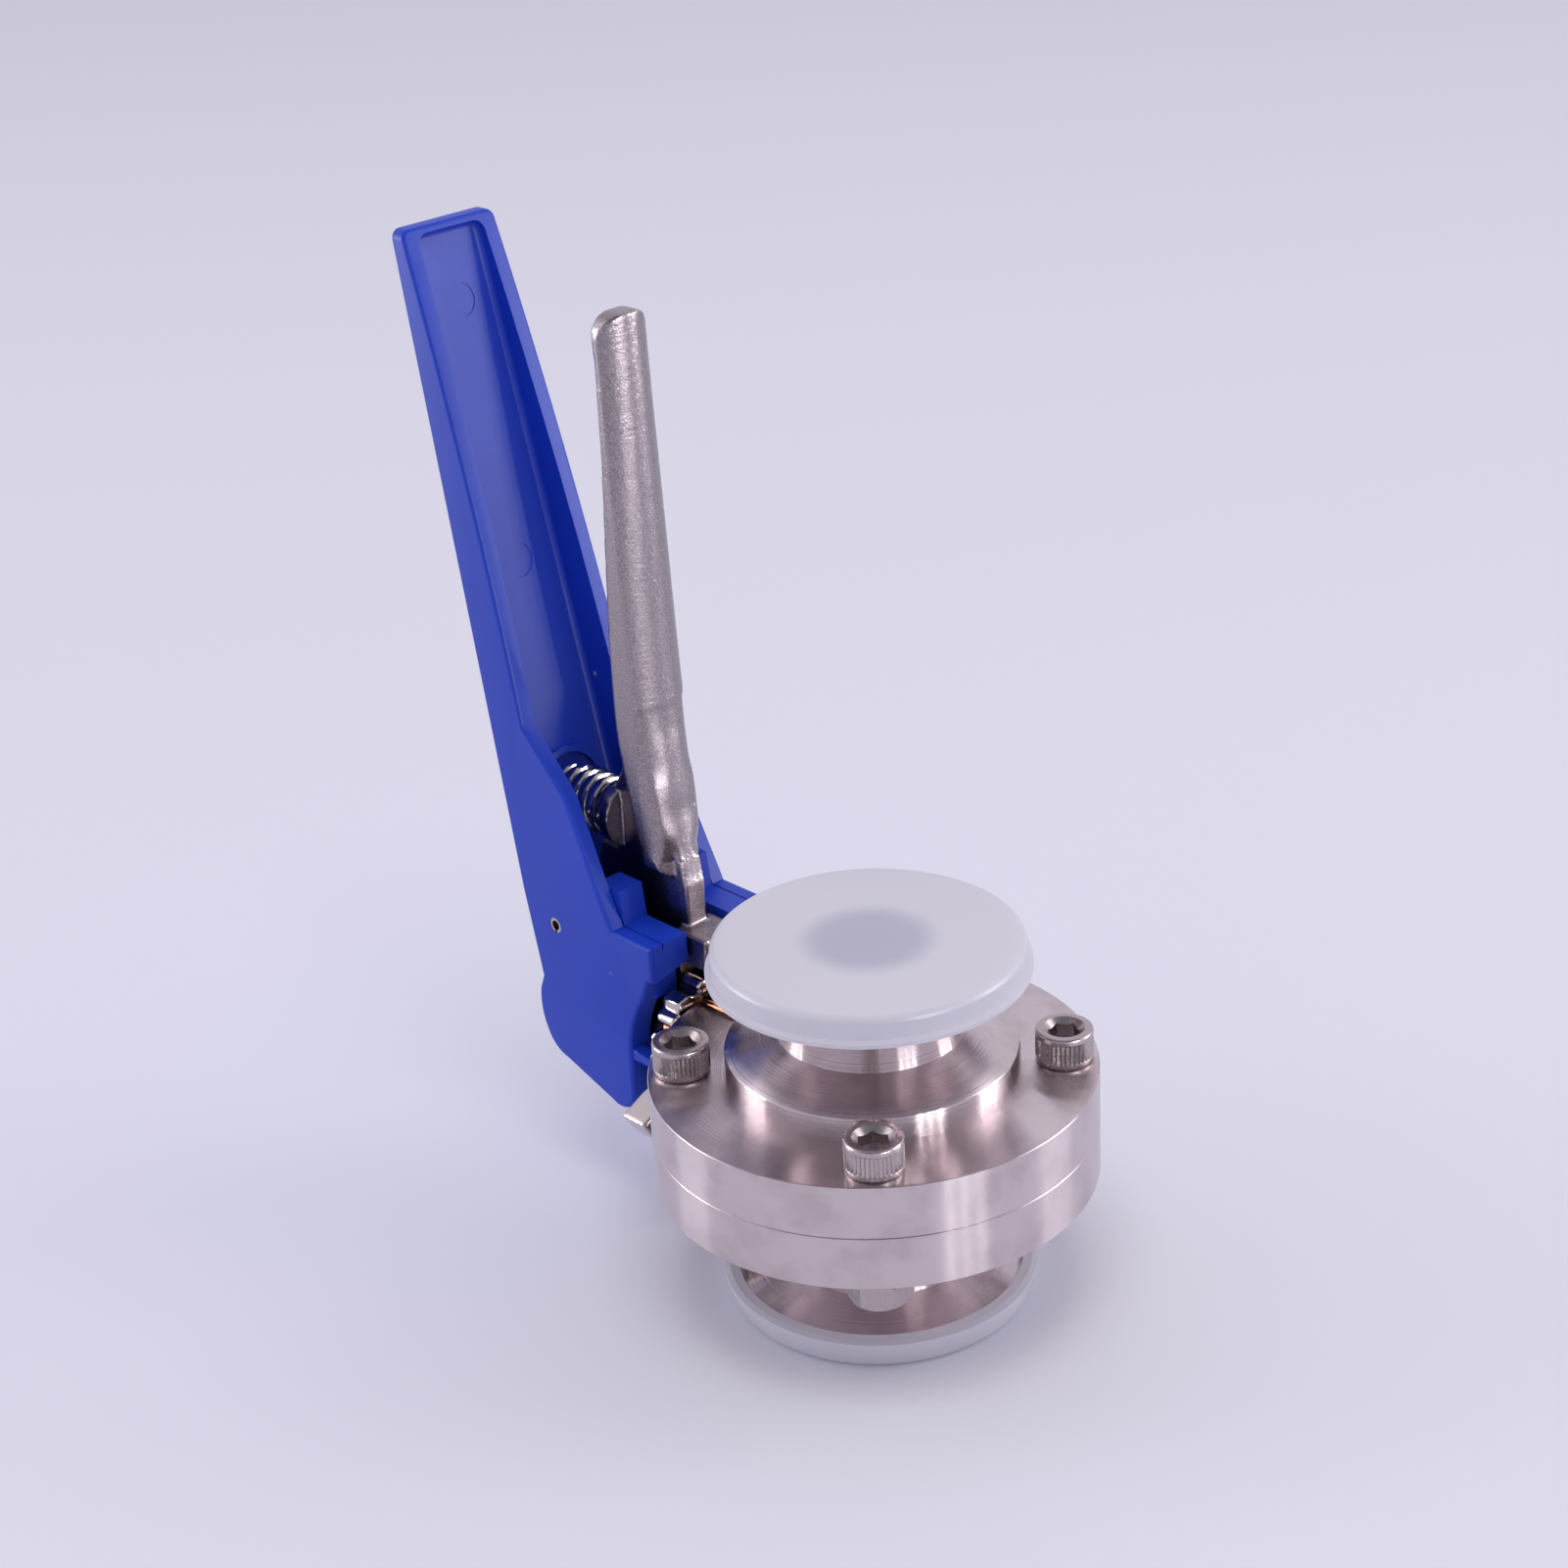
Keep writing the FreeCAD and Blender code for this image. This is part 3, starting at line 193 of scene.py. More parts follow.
# bright drawn 302 spring wire: near mirror, and a little uneven from the drawing die, whose lines are
# too fine to show and are drawn as patches
wire = {"colour": "#D2CAC4", "roughness": 0.14, "smoother": 0.7, "rougher": 1.4, "patchMm": 1.42857}


def springSteel(tree):
    place = (addNode(tree, "ShaderNodeTexCoord"), "Object")
    patches = addNode(tree, "ShaderNodeTexNoise", {"Vector": place, "Scale": mmPerMetre / wire["patchMm"]})
    rough = addNode(tree, "ShaderNodeMapRange", {"Value": (patches, "Fac"),
                                                 "To Min": wire["roughness"] * wire["smoother"],
                                                 "To Max": wire["roughness"] * wire["rougher"]})
    return addNode(tree, "ShaderNodeBsdfPrincipled", {"Base Color": linearColour(wire["colour"]),
                                                      "Metallic": 1.0, "Roughness": (rough, 0)})


# injection-moulded PA66 from a spark-eroded mould: a soft sheen over saturated royal blue, slow flow
# marks, and a few pale scuffs. The mould's grain is drawn coarser than a real one, so that it shows
nylon = {"tones": [(0.3, "#173BB8"), (0.7, "#1B41C3")], "flowMm": 28.5714, "IOR": 1.53, "shine": 0.28,
         "roughness": 0.42, "sparkMm": 0.25, "bump": 0.07, "scuff": "#8FA0D8", "scuffMm": 11.0,
         "scuffEdge": [(0.03, "#FFFFFF"), (0.06, "#000000")]}


def blueNylon(tree):
    place = (addNode(tree, "ShaderNodeTexCoord"), "Object")
    spark = addNode(tree, "ShaderNodeTexNoise", {"Vector": place, "Scale": mmPerMetre / nylon["sparkMm"],
                                                 "Detail": 2.0})
    flow = addNode(tree, "ShaderNodeTexNoise", {"Vector": place, "Scale": mmPerMetre / nylon["flowMm"],
                                                "Detail": 3.0})
    tone = addNode(tree, "ShaderNodeValToRGB", {"Fac": (flow, "Fac")}, stops=nylon["tones"])
    dents = addNode(tree, "ShaderNodeTexVoronoi", {"Vector": place, "Scale": mmPerMetre / nylon["scuffMm"],
                                                   "Randomness": 1.0})
    scuffed = addNode(tree, "ShaderNodeValToRGB", {"Fac": (dents, "Distance")}, stops=nylon["scuffEdge"])
    mixed = addNode(tree, "ShaderNodeMix", {"Factor": (scuffed, "Color"), 6: (tone, "Color"),
                                            7: linearColour(nylon["scuff"])}, data_type="RGBA")
    bump = addNode(tree, "ShaderNodeBump", {"Height": (spark, "Fac"), "Strength": nylon["bump"],
                                            "Distance": bumpDistance})
    return addNode(tree, "ShaderNodeBsdfPrincipled", {"Base Color": (mixed, 2), "IOR": nylon["IOR"],
                                                      "Specular IOR Level": nylon["shine"],
                                                      "Roughness": nylon["roughness"],
                                                      "Normal": (bump, 0)})


# thin moulded LDPE: milky, with the dark bore under it painted into its colour as a soft shade round the
# valve's axis.
# The tones go from the near to the far radius of shadeMm
polyethylene = {"tones": [(0.0, "#CFCCDF"), (1.0, "#EFECF6")], "shadeMm": (7.5, 13.5), "IOR": 1.51,
                "clear": 0.28, "roughness": 0.34, "smoother": 0.9, "rougher": 1.15, "cloudMm": 14.0}


def capPolyethylene(tree):
    place = (addNode(tree, "ShaderNodeTexCoord"), "Object")
    cloud = addNode(tree, "ShaderNodeTexNoise", {"Vector": place, "Detail": 2.0,
                                                 "Scale": mmPerMetre / polyethylene["cloudMm"]})
    roughness = polyethylene["roughness"]
    rough = addNode(tree, "ShaderNodeMapRange", {"Value": (cloud, "Fac"),
                                                 "To Min": roughness * polyethylene["smoother"],
                                                 "To Max": roughness * polyethylene["rougher"]})
    flat = addNode(tree, "ShaderNodeVectorMath", {0: place, 1: (1, 1, 0)}, operation="MULTIPLY")
    radius = addNode(tree, "ShaderNodeVectorMath", {0: (flat, 0)}, operation="LENGTH")
    inner, outer = polyethylene["shadeMm"]
    share = addNode(tree, "ShaderNodeMapRange", {"Value": (radius, "Value"), "From Min": inner / mmPerMetre,
                                                 "From Max": outer / mmPerMetre},
                    interpolation_type="SMOOTHSTEP")
    # painted shade: the bore under the cap, darker towards the valve's axis
    tone = addNode(tree, "ShaderNodeValToRGB", {"Fac": (share, 0)}, stops=polyethylene["tones"])
    return addNode(tree, "ShaderNodeBsdfPrincipled", {"Base Color": (tone, "Color"),
                                                      "IOR": polyethylene["IOR"], "Roughness": (rough, 0),
                                                      "Transmission Weight": polyethylene["clear"]})


# moulded EPDM liner: dull black with a faint bloom
rubber = {"colour": "#1D1D1E", "IOR": 1.52, "roughness": (0.55, 0.75), "bloomMm": 2.5}


def seatRubber(tree):
    place = (addNode(tree, "ShaderNodeTexCoord"), "Object")
    bloom = addNode(tree, "ShaderNodeTexNoise", {"Vector": place, "Scale": mmPerMetre / rubber["bloomMm"]})
    rough = addNode(tree, "ShaderNodeMapRange", {"Value": (bloom, "Fac"), "To Min": rubber["roughness"][0],
                                                 "To Max": rubber["roughness"][1]})
    return addNode(tree, "ShaderNodeBsdfPrincipled", {"Base Color": linearColour(rubber["colour"]),
                                                      "IOR": rubber["IOR"], "Roughness": (rough, 0)})


# PTFE bar, machined: waxy white with tool rings, drawn coarser than real ones so that they show
bushes = {"colour": "#EFEFEA", "IOR": 1.38, "roughness": 0.45, "ringMm": 0.4, "bump": 0.1}


def bushPlastic(tree):
    place = (addNode(tree, "ShaderNodeTexCoord"), "Object")
    parts = addNode(tree, "ShaderNodeSeparateXYZ", {0: place})
    rings = addNode(tree, "ShaderNodeTexNoise", {"W": (parts, "X"), "Scale": mmPerMetre / bushes["ringMm"]},
                    noise_dimensions="1D")
    bump = addNode(tree, "ShaderNodeBump", {"Height": (rings, "Fac"), "Strength": bushes["bump"],
                                            "Distance": bumpDistance})
    return addNode(tree, "ShaderNodeBsdfPrincipled", {"Base Color": linearColour(bushes["colour"]),
                                                      "IOR": bushes["IOR"],
                                                      "Roughness": bushes["roughness"],
                                                      "Normal": (bump, 0)})


finishes = {
    "turned_stainless": makeMaterial("turnedStainless", turnedStainless),
    "cast_stainless": makeMaterial("castStainless", castStainless),
    "fastener_steel": makeMaterial("fastenerSteel", fastenerSteel),
    "spring_steel": makeMaterial("springSteel", springSteel),
    "blue_nylon": makeMaterial("blueNylon", blueNylon),
    "cap_polyethylene": makeMaterial("capPolyethylene", capPolyethylene),
    "seat_rubber": makeMaterial("seatRubber", seatRubber),
    "bush_plastic": makeMaterial("bushPlastic", bushPlastic),
}
slotOfNode = {part["node"]: part["material_slot"] for part in frame["record"]["subparts"]}
bodies = frame["record"]["behaviour"]["bodies"]
bodyOfNode = {node: body for body, nodes in bodies.items() for node in nodes}


def finish(piece, material):
    piece.data.materials.clear()
    piece.data.materials.append(material)


for nodeName, nodeObject in frame["nodes"].items():
    finish(nodeObject, finishes[slotOfNode[nodeName]])
print("materials set")

onePoint = 1e-6  # metres: CAD points closer than this are one point
cutGap = 2e-6  # metres: points that a cut leaves closer than this are one point
smoothAngle = 35  # degrees: edges flatter than this are shaded smooth
smoothStep = 0.5  # how far one step of smoothing moves a point towards its neighbours


def selectOnly(piece):
    bpy.ops.object.select_all(action="DESELECT")
    piece.select_set(True)
    bpy.context.view_layer.objects.active = piece


def addModifier(piece, kind, **settings):
    made = piece.modifiers.new(kind.lower(), kind)
    for key, setting in settings.items():
        setattr(made, key, setting)
    selectOnly(piece)
    bpy.ops.object.modifier_apply(modifier=made.name)


def cutWith(piece, cutter, operation="DIFFERENCE"):
    addModifier(piece, "BOOLEAN", object=cutter, operation=operation, solver="EXACT")
    bpy.data.objects.remove(cutter)


def editOnly(mesh, kind, test):
    # in edit mode, selects the faces, edges or vertices that pass the test, and nothing else
    bpy.ops.mesh.select_mode(type=kind)
    bpy.ops.mesh.select_all(action="DESELECT")
    bpy.ops.object.mode_set(mode="OBJECT")
    for item in {"FACE": mesh.polygons, "EDGE": mesh.edges, "VERT": mesh.vertices}[kind]:
        item.select = test(item)
    bpy.ops.object.mode_set(mode="EDIT")


def near(one, other, gap=1e-5):
    return abs(one - other) < gap


def roundOf(point):
    return math.hypot(point.x, point.y)


def roundBar(sides, radius, low, high):
    # stands on the z axis, from low to high
    bpy.ops.object.select_all(action="DESELECT")
    bpy.ops.mesh.primitive_cylinder_add(vertices=sides, radius=radius, depth=high - low,
                                        location=(0, 0, (low + high) / 2))
    bpy.ops.object.transform_apply(location=True, rotation=True, scale=True)
    return bpy.context.object


def roundedBox(low, high, rounding):
    low, high = Vector(low), Vector(high)
    bpy.ops.object.select_all(action="DESELECT")
    bpy.ops.mesh.primitive_cube_add(size=1, location=(low + high) / 2)
    piece = bpy.context.object
    piece.scale = high - low
    bpy.ops.object.transform_apply(location=True, rotation=True, scale=True)
    addModifier(piece, "BEVEL", width=rounding, segments=2)
    return piece


def cleanCut(piece):
    # after a cut: doubled points merged, and faces without area dissolved
    selectOnly(piece)
    bpy.ops.object.mode_set(mode="EDIT")
    bpy.ops.mesh.select_all(action="SELECT")
    bpy.ops.mesh.remove_doubles(threshold=cutGap)
    bpy.ops.mesh.dissolve_degenerate(threshold=cutGap)
    bpy.ops.object.mode_set(mode="OBJECT")
    return piece


def cadCopy(node, suffix):
    # a merged copy of a CAD node's mesh, in place
    piece = frame["nodes"][node].copy()
    piece.data = frame["nodes"][node].data.copy()
    piece.name = node + suffix
    piece.parent = None
    bpy.context.collection.objects.link(piece)
    piece.matrix_world = Matrix.Identity(4)
    selectOnly(piece)
    bpy.ops.object.mode_set(mode="EDIT")
    bpy.ops.mesh.select_all(action="SELECT")
    bpy.ops.mesh.remove_doubles(threshold=onePoint)
    bpy.ops.object.mode_set(mode="OBJECT")
    bpy.ops.mesh.customdata_custom_splitnormals_clear()
    return piece


def copyTo(pattern, node, turn):
    # a copy with its own mesh, turned so many degrees, in the middle of the CAD node's box and on its foot
    low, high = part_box(node)
    piece = pattern.copy()
    piece.data = pattern.data.copy()
    piece.name = node + "_detailed"
    bpy.context.collection.objects.link(piece)
    piece.location = ((low[0] + high[0]) / 2, (low[1] + high[1]) / 2, low[2])
    piece.rotation_euler = (0, 0, math.radians(turn))
    return piece


def settle(piece, node):
    # the piece stands for a CAD node, rides on its body and has its place in its mesh
    selectOnly(piece)
    bpy.ops.object.transform_apply(location=True, rotation=True, scale=True)
    bpy.ops.object.shade_smooth_by_angle(angle=math.radians(smoothAngle))
    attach(piece, bodyOfNode[node])
    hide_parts(node)


# M6 socket head screw in metres: knurled head, coned socket mouth, rounded rims. The knurl has fewer
# ridges than a real one, so that they show. turns are degrees, one for each screw
screw = {"ridges": 38, "knurlDepth": 0.00028, "headRadius": 0.005, "headHeight": 0.006,
         "shankRadius": 0.003, "shankLength": 0.025, "plainTop": 0.0011, "plainFoot": 0.0009,
         "knurlRunOut": 0.00015, "rimRound": 0.00045, "hexFlats": 0.005, "hexDepth": 0.003,
         "hexRound": 0.00015, "mouthRadius": 0.0036, "mouthSlope": 0.95, "mouthSides": 64,
         "turns": (8, 31, 17, 49)}


def screwModel():
    radius, foot = screw["headRadius"], screw["shankLength"]
    top = foot + screw["headHeight"]
    piece = roundBar(2 * screw["ridges"], radius, foot, top)
    mesh = piece.data
    bpy.ops.object.mode_set(mode="EDIT")
    bandLow, bandHigh = foot + screw["plainFoot"], top - screw["plainTop"]
    runOut = screw["knurlRunOut"]
    for height in (bandLow, bandLow + runOut, bandHigh - runOut, bandHigh):
        bpy.ops.mesh.select_all(action="SELECT")
        bpy.ops.mesh.bisect(plane_co=(0, 0, height), plane_no=(0, 0, 1))
    # every second line of the middle band goes in, which leaves the ridges
    editOnly(mesh, "VERT", lambda v: bandLow + runOut / 2 < v.co.z < bandHigh - runOut / 2
             and round(math.atan2(v.co.y, v.co.x) / math.pi * screw["ridges"]) % 2 == 0)
    shrink = 1 - screw["knurlDepth"] / radius
    bpy.ops.transform.resize(value=(shrink, shrink, 1), center_override=(0, 0, foot))
    # the shank grows out of the head's underside
    editOnly(mesh, "FACE", lambda f: near(f.center.z, foot))
    bpy.ops.mesh.inset(thickness=radius - screw["shankRadius"])
    bpy.ops.mesh.extrude_region_move(TRANSFORM_OT_translate={"value": (0, 0, -foot)})
    # the head's two rims are rounded, and the shank's end is chamfered
    points = mesh.vertices
    editOnly(mesh, "EDGE", lambda e: all(near(roundOf(points[i].co), radius) for i in e.vertices)
             and any(all(near(points[i].co.z, rim, onePoint) for i in e.vertices) for rim in (foot, top)))
    bpy.ops.mesh.bevel(offset=screw["rimRound"], segments=4, affect="EDGES")
    editOnly(mesh, "EDGE", lambda e: all(near(points[i].co.z, 0, onePoint) for i in e.vertices))
    bpy.ops.mesh.bevel(offset=screw["rimRound"], segments=1, affect="EDGES")
    bpy.ops.object.mode_set(mode="OBJECT")
    # the hexagon and its coned mouth are cut out of the head
    hexagon = roundBar(6, screw["hexFlats"] / 2 / math.cos(math.pi / 6), top - screw["hexDepth"],
                       top + screw["hexDepth"])
    addModifier(hexagon, "BEVEL", width=screw["hexRound"], segments=2)
    bpy.ops.object.select_all(action="DESELECT")
    wide = 2 * screw["mouthRadius"]
    bpy.ops.mesh.primitive_cone_add(vertices=screw["mouthSides"], radius1=0.0, radius2=wide,
                                    depth=wide * screw["mouthSlope"], location=(0, 0, top))
    mouth = bpy.context.object
    cutWith(piece, hexagon)
    cutWith(piece, mouth)
    return cleanCut(piece)


# M6 nut in metres, with the corners turned off at 45 degrees. It is turned so many degrees further than
# its screw
nut = {"flats": 0.010, "height": 0.005, "bore": 0.00303, "boreSides": 40, "cornerCut": 0.0008,
       "cornerPlay": 0.00005, "cornerSides": 72, "further": 22}


def nutModel():
    corner = nut["flats"] / 2 / math.cos(math.pi / 6)
    piece = roundBar(6, corner, 0, nut["height"])
    barrel = roundBar(nut["cornerSides"], corner + nut["cornerPlay"], 0, nut["height"])
    points = barrel.data.vertices
    bpy.ops.object.mode_set(mode="EDIT")
    editOnly(barrel.data, "EDGE", lambda e: near(points[e.vertices[0]].co.z, points[e.vertices[1]].co.z))
    bpy.ops.mesh.bevel(offset=nut["cornerCut"], segments=1, affect="EDGES")
    bpy.ops.object.mode_set(mode="OBJECT")
    cutWith(piece, barrel, "INTERSECT")
    cutWith(piece, roundBar(nut["boreSides"], nut["bore"], -nut["height"], 2 * nut["height"]))
    return cleanCut(piece)


screwPattern, nutPattern = screwModel(), nutModel()
for number, turn in enumerate(screw["turns"], start=1):
    for pattern, node, angle in ((screwPattern, "cap_screw_%d" % number, turn),
                                 (nutPattern, "hex_nut_%d" % number, turn + nut["further"])):
        piece = copyTo(pattern, node, angle)
        finish(piece, finishes[slotOfNode[node]])
        settle(piece, node)
bpy.data.objects.remove(screwPattern)
bpy.data.objects.remove(nutPattern)
print("screws and nuts modelled")

# castings: how finely each is remeshed, in metres, how often smoothed, and where it is smoothed more:
# the lever's grip, where the rib comes out of it, the ends of the index plate's teeth and its lower lug
castings = {
    "lever": {"voxel": 0.0003, "softening": 3, "finish": finishes["cast_stainless"],
              "more": [(80, lambda at: at.x > -0.0505 and 0.0690 < at.z < 0.0985)]},
    "index_plate": {"voxel": 0.00025, "softening": 3,
                    "finish": makeMaterial("polishedCasting", polishedCasting),
                    "more": [(8, lambda at: math.hypot(at.y, at.z - splitHeight) > 0.0122),
                             (40, lambda at: at.z < 0.0185)]},
}
# what is cut off the index plate's upper ear, so that the teeth stand free of it
earCut = {"low": (-0.0389, -0.0200, 0.0440), "high": (-0.0290, -0.0052, 0.0464), "round": 0.001}
# the grip is thicker towards the front and a little wider: metres, and the heights over which that grows.
# Over the heights of flush its front comes out level with the rib, with a crown of so much per metre
grip = {"thicker": 0.0015, "wider": 0.07, "behind": 0.0003, "from": 0.066, "to": 0.080, "slice": 0.001,
        "flush": (0.0690, 0.0850), "fade": 0.005, "crown": 50, "halfWidth": 0.0056, "deep": 0.0028}


def thickenGrip(mesh):
    # the back and the front of each slice of the lever are found first
    backs, fronts = {}, {}
    for vertex in mesh.vertices:
        level = int(vertex.co.z / grip["slice"])
        backs[level] = min(backs.get(level, 1.0), vertex.co.x)
        fronts[level] = max(fronts.get(level, -1.0), vertex.co.x)
    for vertex in mesh.vertices:
        spot, level = vertex.co, int(vertex.co.z / grip["slice"])
        if grip["flush"][0] < spot.z < grip["flush"][1] and abs(spot.y) < grip["halfWidth"] \
                and spot.x > fronts[level] - grip["deep"]:
            fade = min((spot.z - grip["flush"][0]) / grip["fade"], 1)
            spot.x += fade * max(fronts[level] - grip["crown"] * spot.y ** 2 - spot.x, 0)
        grown = min(max((spot.z - grip["from"]) / (grip["to"] - grip["from"]), 0), 1)
        share = (spot.x - backs[level]) / max(fronts[level] - backs[level], onePoint)
        spot.x += grown * (grip["thicker"] * share - grip["behind"] * (1 - share))
        spot.y *= 1 + grip["wider"] * grown


for node, how in castings.items():
    piece = cadCopy(node, "_cast")
    if node == "index_plate":
        cutWith(piece, roundedBox(earCut["low"], earCut["high"], earCut["round"]))
    addModifier(piece, "REMESH", mode="VOXEL", voxel_size=how["voxel"])
    addModifier(piece, "SMOOTH", factor=smoothStep, iterations=how["softening"])
    if node == "lever":
        thickenGrip(piece.data)
    bpy.ops.object.mode_set(mode="EDIT")
    for times, where in how["more"]:
        editOnly(piece.data, "VERT", lambda v: where(v.co))
        bpy.ops.mesh.vertices_smooth(factor=smoothStep, repeat=times)
    bpy.ops.object.mode_set(mode="OBJECT")
    print(piece.name, "triangles", 2 * len(piece.data.polygons))
    finish(piece, how["finish"])
    settle(piece, node)
    bpy.ops.object.shade_smooth()
print("castings softened")

# the trigger's front in metres: lips carried lower on the cheeks, and the cheeks filled out behind the
# index plate. fill gives two corners of the filling on the +Y side
front = {"lipFrom": -0.0446, "lipRise": (0.0507, 0.0528), "lipSide": 0.010, "lower": 0.0018,
         "forward": 0.0011, "ledge": -0.0425, "fillRound": 0.0004,
         "fill": ((-0.0540, 0.0052, 0.0445), (-0.0445, 0.0106, 0.0500))}
piece = cadCopy("trigger", "_moulded")
for vertex in piece.data.vertices:
    spot = vertex.co
    if spot.x > front["lipFrom"] and front["lipRise"][0] < spot.z < front["lipRise"][1] \
            and abs(spot.y) > front["lipSide"]:
        spot.z -= front["lower"]
        if spot.x < front["ledge"]:
            spot.x += front["forward"]
(backX, nearY, lowZ), (frontX, farY, highZ) = front["fill"]
fillings = [roundedBox((backX, fromY, lowZ), (frontX, toY, highZ), front["fillRound"])
            for fromY, toY in ((nearY, farY), (-farY, -nearY))]
selectOnly(piece)
for filling in fillings:
    finish(filling, finishes["blue_nylon"])
    filling.select_set(True)
bpy.ops.object.join()
settle(piece, "trigger")
print("trigger front filled out")

# the body halves in metres: the flanges' edges are broken less than in the CAD model
flange = {"radius": 0.039, "thickness": 0.00985, "edgeBreak": 0.0006, "finer": 0.00013}
# and the hub's rim under the cone is broken with a file
hub = {"radius": 0.0255, "height": 0.0144, "edgeBreak": 0.0003, "within": 2e-5}
for node in ("upper_body", "lower_body"):
    piece = cadCopy(node, "_turned")
    points = piece.data.vertices
    for vertex in points:
        spot, radius = vertex.co, roundOf(vertex.co)
        side = 1 if spot.z > splitHeight else -1
        rise = abs(spot.z - splitHeight)
        onFace = near(rise, 0) or near(rise, flange["thickness"])
        if onFace and near(radius, flange["radius"] - flange["edgeBreak"]):
            spot.xy *= (flange["radius"] - flange["finer"]) / radius
        elif near(radius, flange["radius"]) and near(rise, flange["edgeBreak"]):
            spot.z = splitHeight + side * flange["finer"]
        elif near(radius, flange["radius"]):
            spot.z = splitHeight + side * (flange["thickness"] - flange["finer"])
    bpy.ops.object.mode_set(mode="EDIT")
    editOnly(piece.data, "EDGE", lambda e: all(
        near(roundOf(points[i].co), hub["radius"], hub["within"])
        and near(abs(points[i].co.z - splitHeight), hub["height"], hub["within"]) for i in e.vertices))
    bpy.ops.mesh.bevel(offset=hub["edgeBreak"], segments=2, affect="EDGES")
    bpy.ops.object.mode_set(mode="OBJECT")
    settle(piece, node)
print("flange edges set")

# the photograph's viewpoint, solved from its circles: angles in degrees, lens and sensor in millimetres,
# and the camera's place from the middle of the valve in metres
photoView = {"azimuth": 47.43, "elevation": 25.28, "roll": -3.14, "lens": 67.46, "sensor": 36.0,
             "rightOf": 0.01583, "above": -0.05708, "away": 0.51126}


def placeCamera():
    az, el, roll = (math.radians(photoView[k]) for k in ("azimuth", "elevation", "roll"))
    back = Vector((math.sin(az) * math.cos(el), -math.cos(az) * math.cos(el), math.sin(el)))
    right = Vector((math.cos(az), math.sin(az), 0))
    up = back.cross(right)
    right, up = (math.cos(roll) * right + math.sin(roll) * up, math.cos(roll) * up - math.sin(roll) * right)
    data = bpy.data.cameras.new("photoCamera")
    data.lens, data.sensor_width = photoView["lens"], photoView["sensor"]
    camera = bpy.data.objects.new("photoCamera", data)
    bpy.context.collection.objects.link(camera)
    spot = Vector((0, 0, splitHeight)) - right * photoView["rightOf"] - up * photoView["above"]
    spot += back * photoView["away"]
    turn = Matrix((right, up, back)).transposed().to_4x4()
    camera.matrix_world = Matrix.Translation(spot) @ turn
    bpy.context.scene.camera = camera


# a pale painted table in a light room that is darker high up, on the side the photograph was taken from:
# shadeAngle and shadeRise say where, in degrees, and shade gives the room's colours by how nearly a
# direction looks there, from -1 to 1
studio = {"table": "#E9E8F2", "tableSize": 8.0, "tableRoughness": 0.8, "tableShine": 0.2,
          "skyStrength": 1.0, "shadeAngle": -42.6, "shadeRise": 62,
          "shade": [(-1.0, "#E5E3EE"), (0.5, "#E2E0EB"), (0.85, "#918F9B"), (1.0, "#84838F")]}
# softboxes: compass angle round the valve in degrees, height, distance, width and length in metres,
# watts; the one overhead gives no reflections
softboxes = {
    "overhead": {"angle": -42, "height": 2.15, "away": 0.6, "size": (1.2, 1.2), "watts": 14,
                 "glossy": False},
    "leftBox": {"angle": -150, "height": 1.0, "away": 1.7, "size": (0.9, 1.2), "watts": 3.5},
    "rightBox": {"angle": 55, "height": 1.0, "away": 1.7, "size": (0.9, 1.2), "watts": 5.5},
}
# upright tubes round the table, which make the bright lines in the metal and only show as reflections
tubes = {"angles": (-147.5, -140.5, -133.5, -12, -4.5, 3, 40, 47, 54), "height": 0.2, "away": 1.5,
         "size": (0.02, 0.6), "watts": 4.2, "diffuse": False}
for number, angle in enumerate(tubes["angles"], start=1):
    softboxes["tube%d" % number] = {**tubes, "angle": angle}


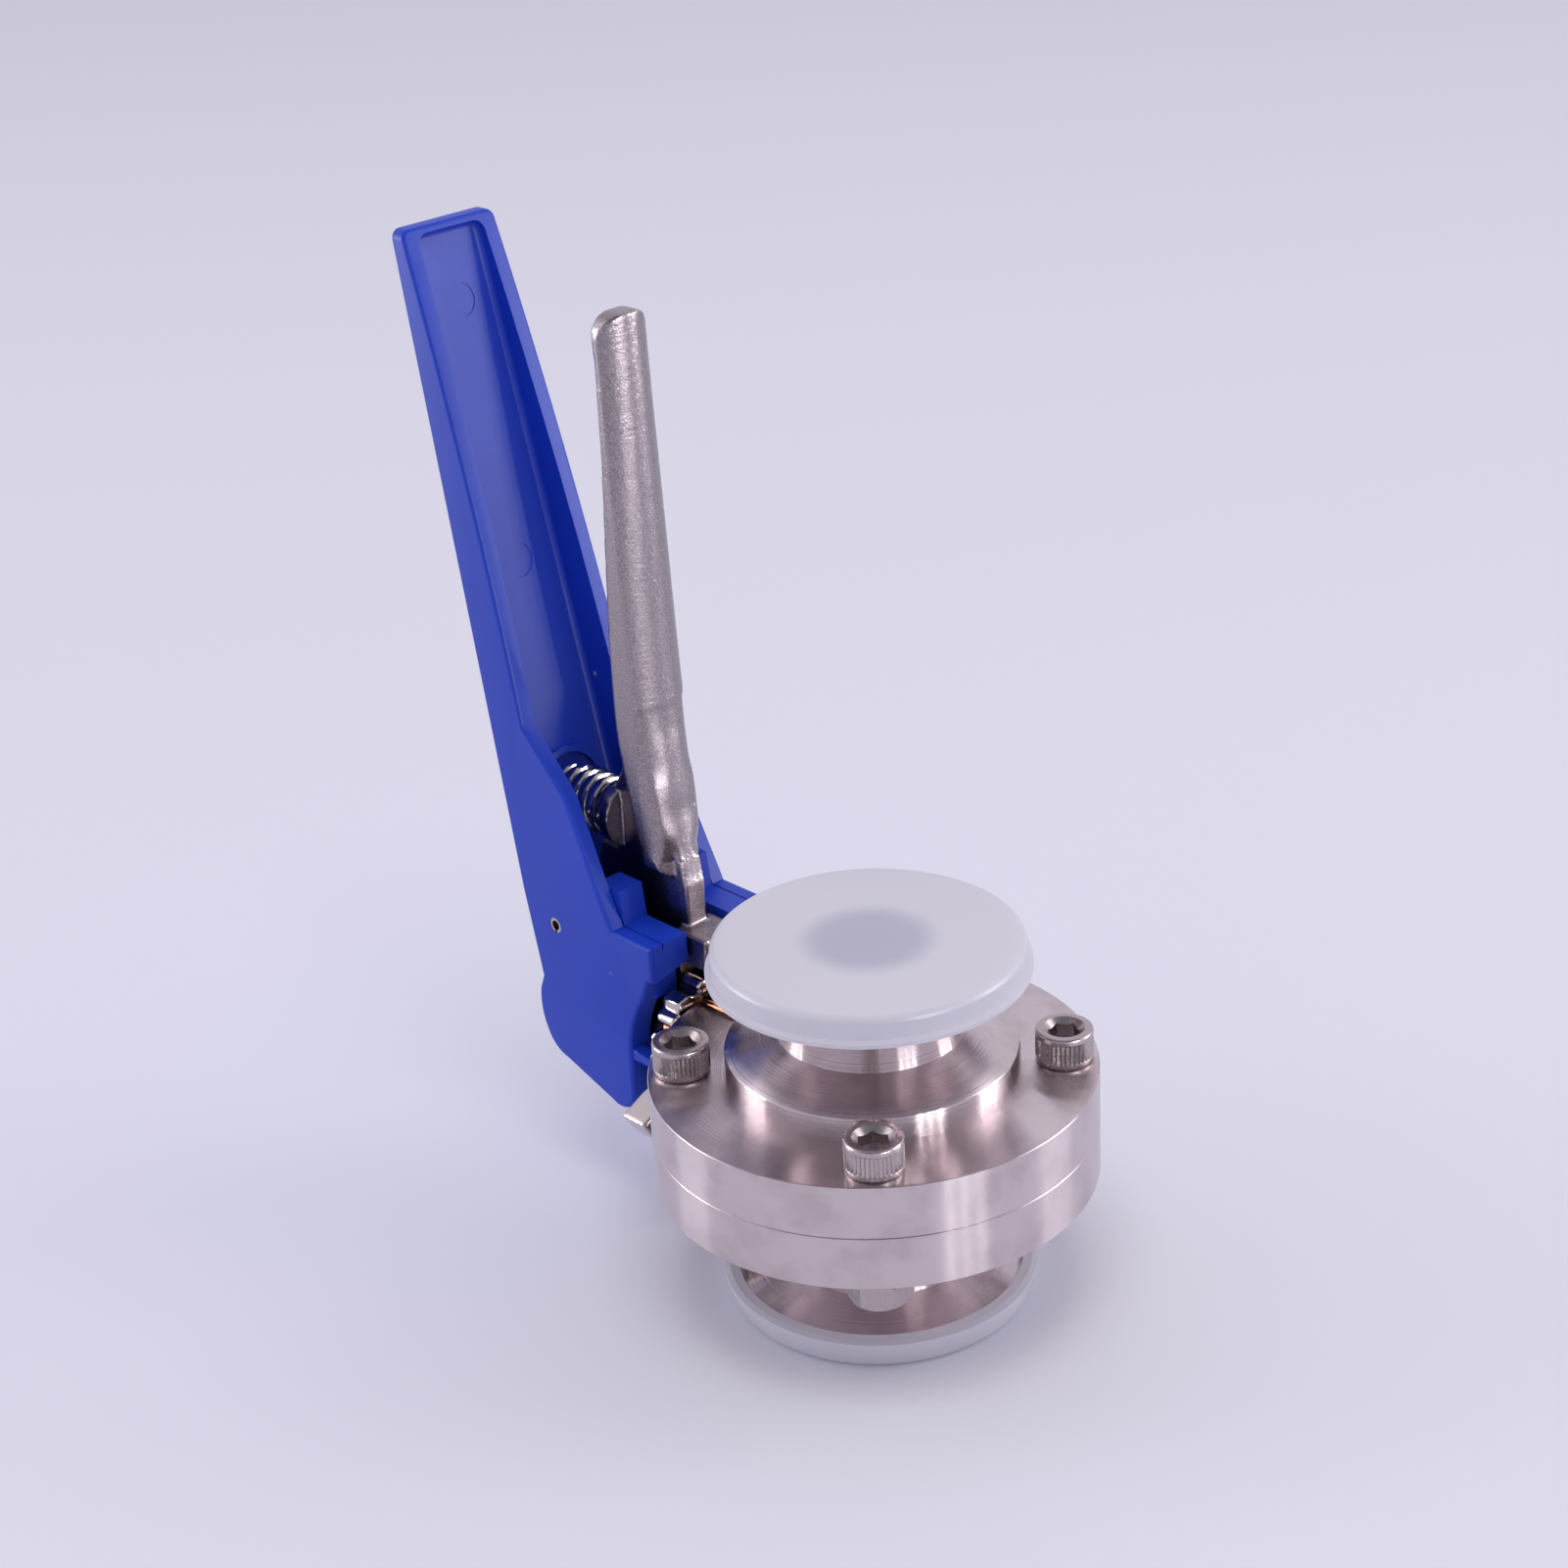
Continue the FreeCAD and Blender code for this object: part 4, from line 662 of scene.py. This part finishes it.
def paintedTable(tree):
    return addNode(tree, "ShaderNodeBsdfPrincipled", {"Base Color": linearColour(studio["table"]),
                                                      "Roughness": studio["tableRoughness"],
                                                      "Specular IOR Level": studio["tableShine"]})


def addSoftbox(name, box):
    data = bpy.data.lights.new(name, "AREA")
    data.shape, data.size, data.size_y = "RECTANGLE", box["size"][0], box["size"][1]
    data.energy = box["watts"]
    light = bpy.data.objects.new(name, data)
    bpy.context.collection.objects.link(light)
    angle = math.radians(box["angle"])
    light.location = (box["away"] * math.cos(angle), box["away"] * math.sin(angle), box["height"])
    light.visible_camera = False
    light.visible_glossy, light.visible_diffuse = box.get("glossy", True), box.get("diffuse", True)
    aim = Vector((0, 0, splitHeight)) - light.location
    light.rotation_euler = aim.to_track_quat("-Z", "Y").to_euler()


def lightRoom():
    world = bpy.data.worlds.new("studioWorld")
    bpy.context.scene.world = world
    world.use_nodes = True
    tree = world.node_tree
    tree.nodes.clear()
    angle, rise = math.radians(studio["shadeAngle"]), math.radians(studio["shadeRise"])
    darkest = (math.cos(angle) * math.cos(rise), math.sin(angle) * math.cos(rise), math.sin(rise))
    place = addNode(tree, "ShaderNodeTexCoord")
    toward = addNode(tree, "ShaderNodeVectorMath", {0: (place, "Generated"), 1: darkest},
                     operation="DOT_PRODUCT")
    share = addNode(tree, "ShaderNodeMapRange", {"Value": (toward, "Value"), "From Min": -1.0,
                                                 "From Max": 1.0})
    sky = addNode(tree, "ShaderNodeValToRGB", {"Fac": (share, 0)},
                  stops=[((dot + 1) / 2, colour) for dot, colour in studio["shade"]])
    light = addNode(tree, "ShaderNodeBackground", {"Color": (sky, "Color"),
                                                   "Strength": studio["skyStrength"]})
    addNode(tree, "ShaderNodeOutputWorld", {"Surface": (light, 0)})


def addStudio():
    bpy.ops.object.select_all(action="DESELECT")
    bpy.ops.mesh.primitive_plane_add(size=studio["tableSize"])
    table = bpy.context.object
    table.name = "table"
    finish(table, makeMaterial("paintedTable", paintedTable))
    for name, box in softboxes.items():
        addSoftbox(name, box)
    lightRoom()
    bpy.context.scene.view_settings.view_transform = "Standard"


placeCamera()
addStudio()
print("camera and studio set")
